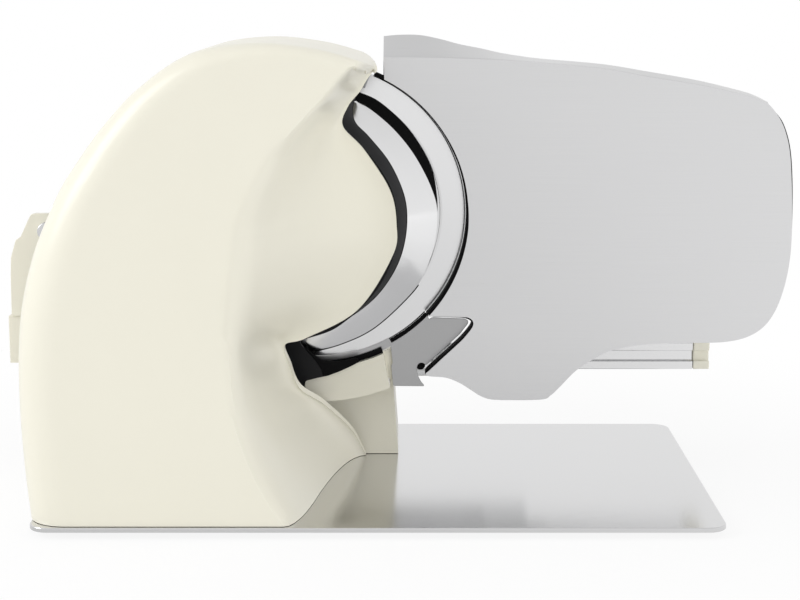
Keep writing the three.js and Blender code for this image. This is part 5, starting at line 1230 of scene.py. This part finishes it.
class SLICER_OT_stage(bpy.types.Operator):
    """Sets the studio: camera, floor, room light and lamps"""
    bl_idname = "slicer.stage"
    bl_label = "Studio"

    def execute(self, context):
        studio = context.scene.slicer_studio
        context.scene.view_settings.view_transform = "Standard"
        build_camera()
        build_world(studio)
        build_floor(studio)
        area_light("key", studio.key_power)
        area_light("fill", studio.fill_power)
        area_light("top", studio.top_power)
        return {"FINISHED"}


class SLICER_OT_finishes(bpy.types.Operator):
    """Makes the materials"""
    bl_idname = "slicer.finishes"
    bl_label = "Finishes"

    def execute(self, context):
        make_materials(context.scene.slicer_colours)
        return {"FINISHED"}


class SLICER_OT_housing(bpy.types.Operator):
    """Builds the housing's fine shell"""
    bl_idname = "slicer.housing"
    bl_label = "Housing"

    def execute(self, context):
        build_housing(context.scene.slicer_sizes)
        return {"FINISHED"}


class SLICER_OT_deflector(bpy.types.Operator):
    """Builds the bright deflector plate and its black carrier"""
    bl_idname = "slicer.deflector"
    bl_label = "Deflector"

    def execute(self, context):
        build_deflector_plate(context.scene.slicer_sizes)
        build_carrier(context.scene.slicer_sizes)
        return {"FINISHED"}


class SLICER_OT_blade(bpy.types.Operator):
    """Builds the blade, its cover and the lower guard"""
    bl_idname = "slicer.blade"
    bl_label = "Blade"

    def execute(self, context):
        build_blade()
        build_cover()
        build_guard()
        return {"FINISHED"}


class SLICER_OT_gauge(bpy.types.Operator):
    """Builds the gauge's steel sheet, its body and its bent lip"""
    bl_idname = "slicer.gauge"
    bl_label = "Gauge"

    def execute(self, context):
        build_gauge()
        return {"FINISHED"}


class SLICER_OT_castings(bpy.types.Operator):
    """Rounds the edges of the painted castings"""
    bl_idname = "slicer.castings"
    bl_label = "Castings"

    def execute(self, context):
        build_castings(context.scene.slicer_sizes)
        return {"FINISHED"}


class SLICER_OT_plates(bpy.types.Operator):
    """Breaks the edges of the plates, the tray, the rail and the pusher"""
    bl_idname = "slicer.plates"
    bl_label = "Plates and rail"

    def execute(self, context):
        build_plates(context.scene.slicer_sizes)
        return {"FINISHED"}


class SLICER_OT_works(bpy.types.Operator):
    """Finishes the drive, the gauge's gear and the small parts"""
    bl_idname = "slicer.works"
    bl_label = "Drive and small parts"

    def execute(self, context):
        build_works(context.scene.slicer_sizes)
        return {"FINISHED"}


class SLICER_OT_fittings(bpy.types.Operator):
    """Builds the feet, the knob, the buttons and the pusher's grip"""
    bl_idname = "slicer.fittings"
    bl_label = "Fittings"

    def execute(self, context):
        build_feet()
        build_controls()
        build_grip()
        return {"FINISHED"}


STEPS = [SLICER_OT_stage, SLICER_OT_finishes, SLICER_OT_housing, SLICER_OT_deflector, SLICER_OT_blade,
         SLICER_OT_gauge, SLICER_OT_castings, SLICER_OT_plates, SLICER_OT_works, SLICER_OT_fittings]


class SLICER_PT_steps(bpy.types.Panel):
    """Lists the slicer's steps in the sidebar"""
    bl_idname = "SLICER_PT_steps"
    bl_label = "Food slicer"
    bl_space_type = "VIEW_3D"
    bl_region_type = "UI"
    bl_category = "Slicer"

    def draw(self, context):
        for step in STEPS:
            self.layout.operator(step.bl_idname)
        for group in (context.scene.slicer_sizes, context.scene.slicer_colours, context.scene.slicer_studio):
            for name in group.__annotations__:
                self.layout.prop(group, name)


GROUPS = {"slicer_sizes": SlicerSizes, "slicer_colours": SlicerColours, "slicer_studio": SlicerStudio}


def register():
    for group in GROUPS.values():
        bpy.utils.register_class(group)
    for step in STEPS:
        bpy.utils.register_class(step)
    bpy.utils.register_class(SLICER_PT_steps)
    for name, group in GROUPS.items():
        setattr(bpy.types.Scene, name, PointerProperty(type=group))


def unregister():
    for name in GROUPS:
        delattr(bpy.types.Scene, name)
    bpy.utils.unregister_class(SLICER_PT_steps)
    for step in STEPS:
        bpy.utils.unregister_class(step)
    for group in GROUPS.values():
        bpy.utils.unregister_class(group)


def main():
    register()
    for step in STEPS:
        getattr(bpy.ops.slicer, step.bl_idname.split(".")[1])()


if __name__ == "__main__":
    main()
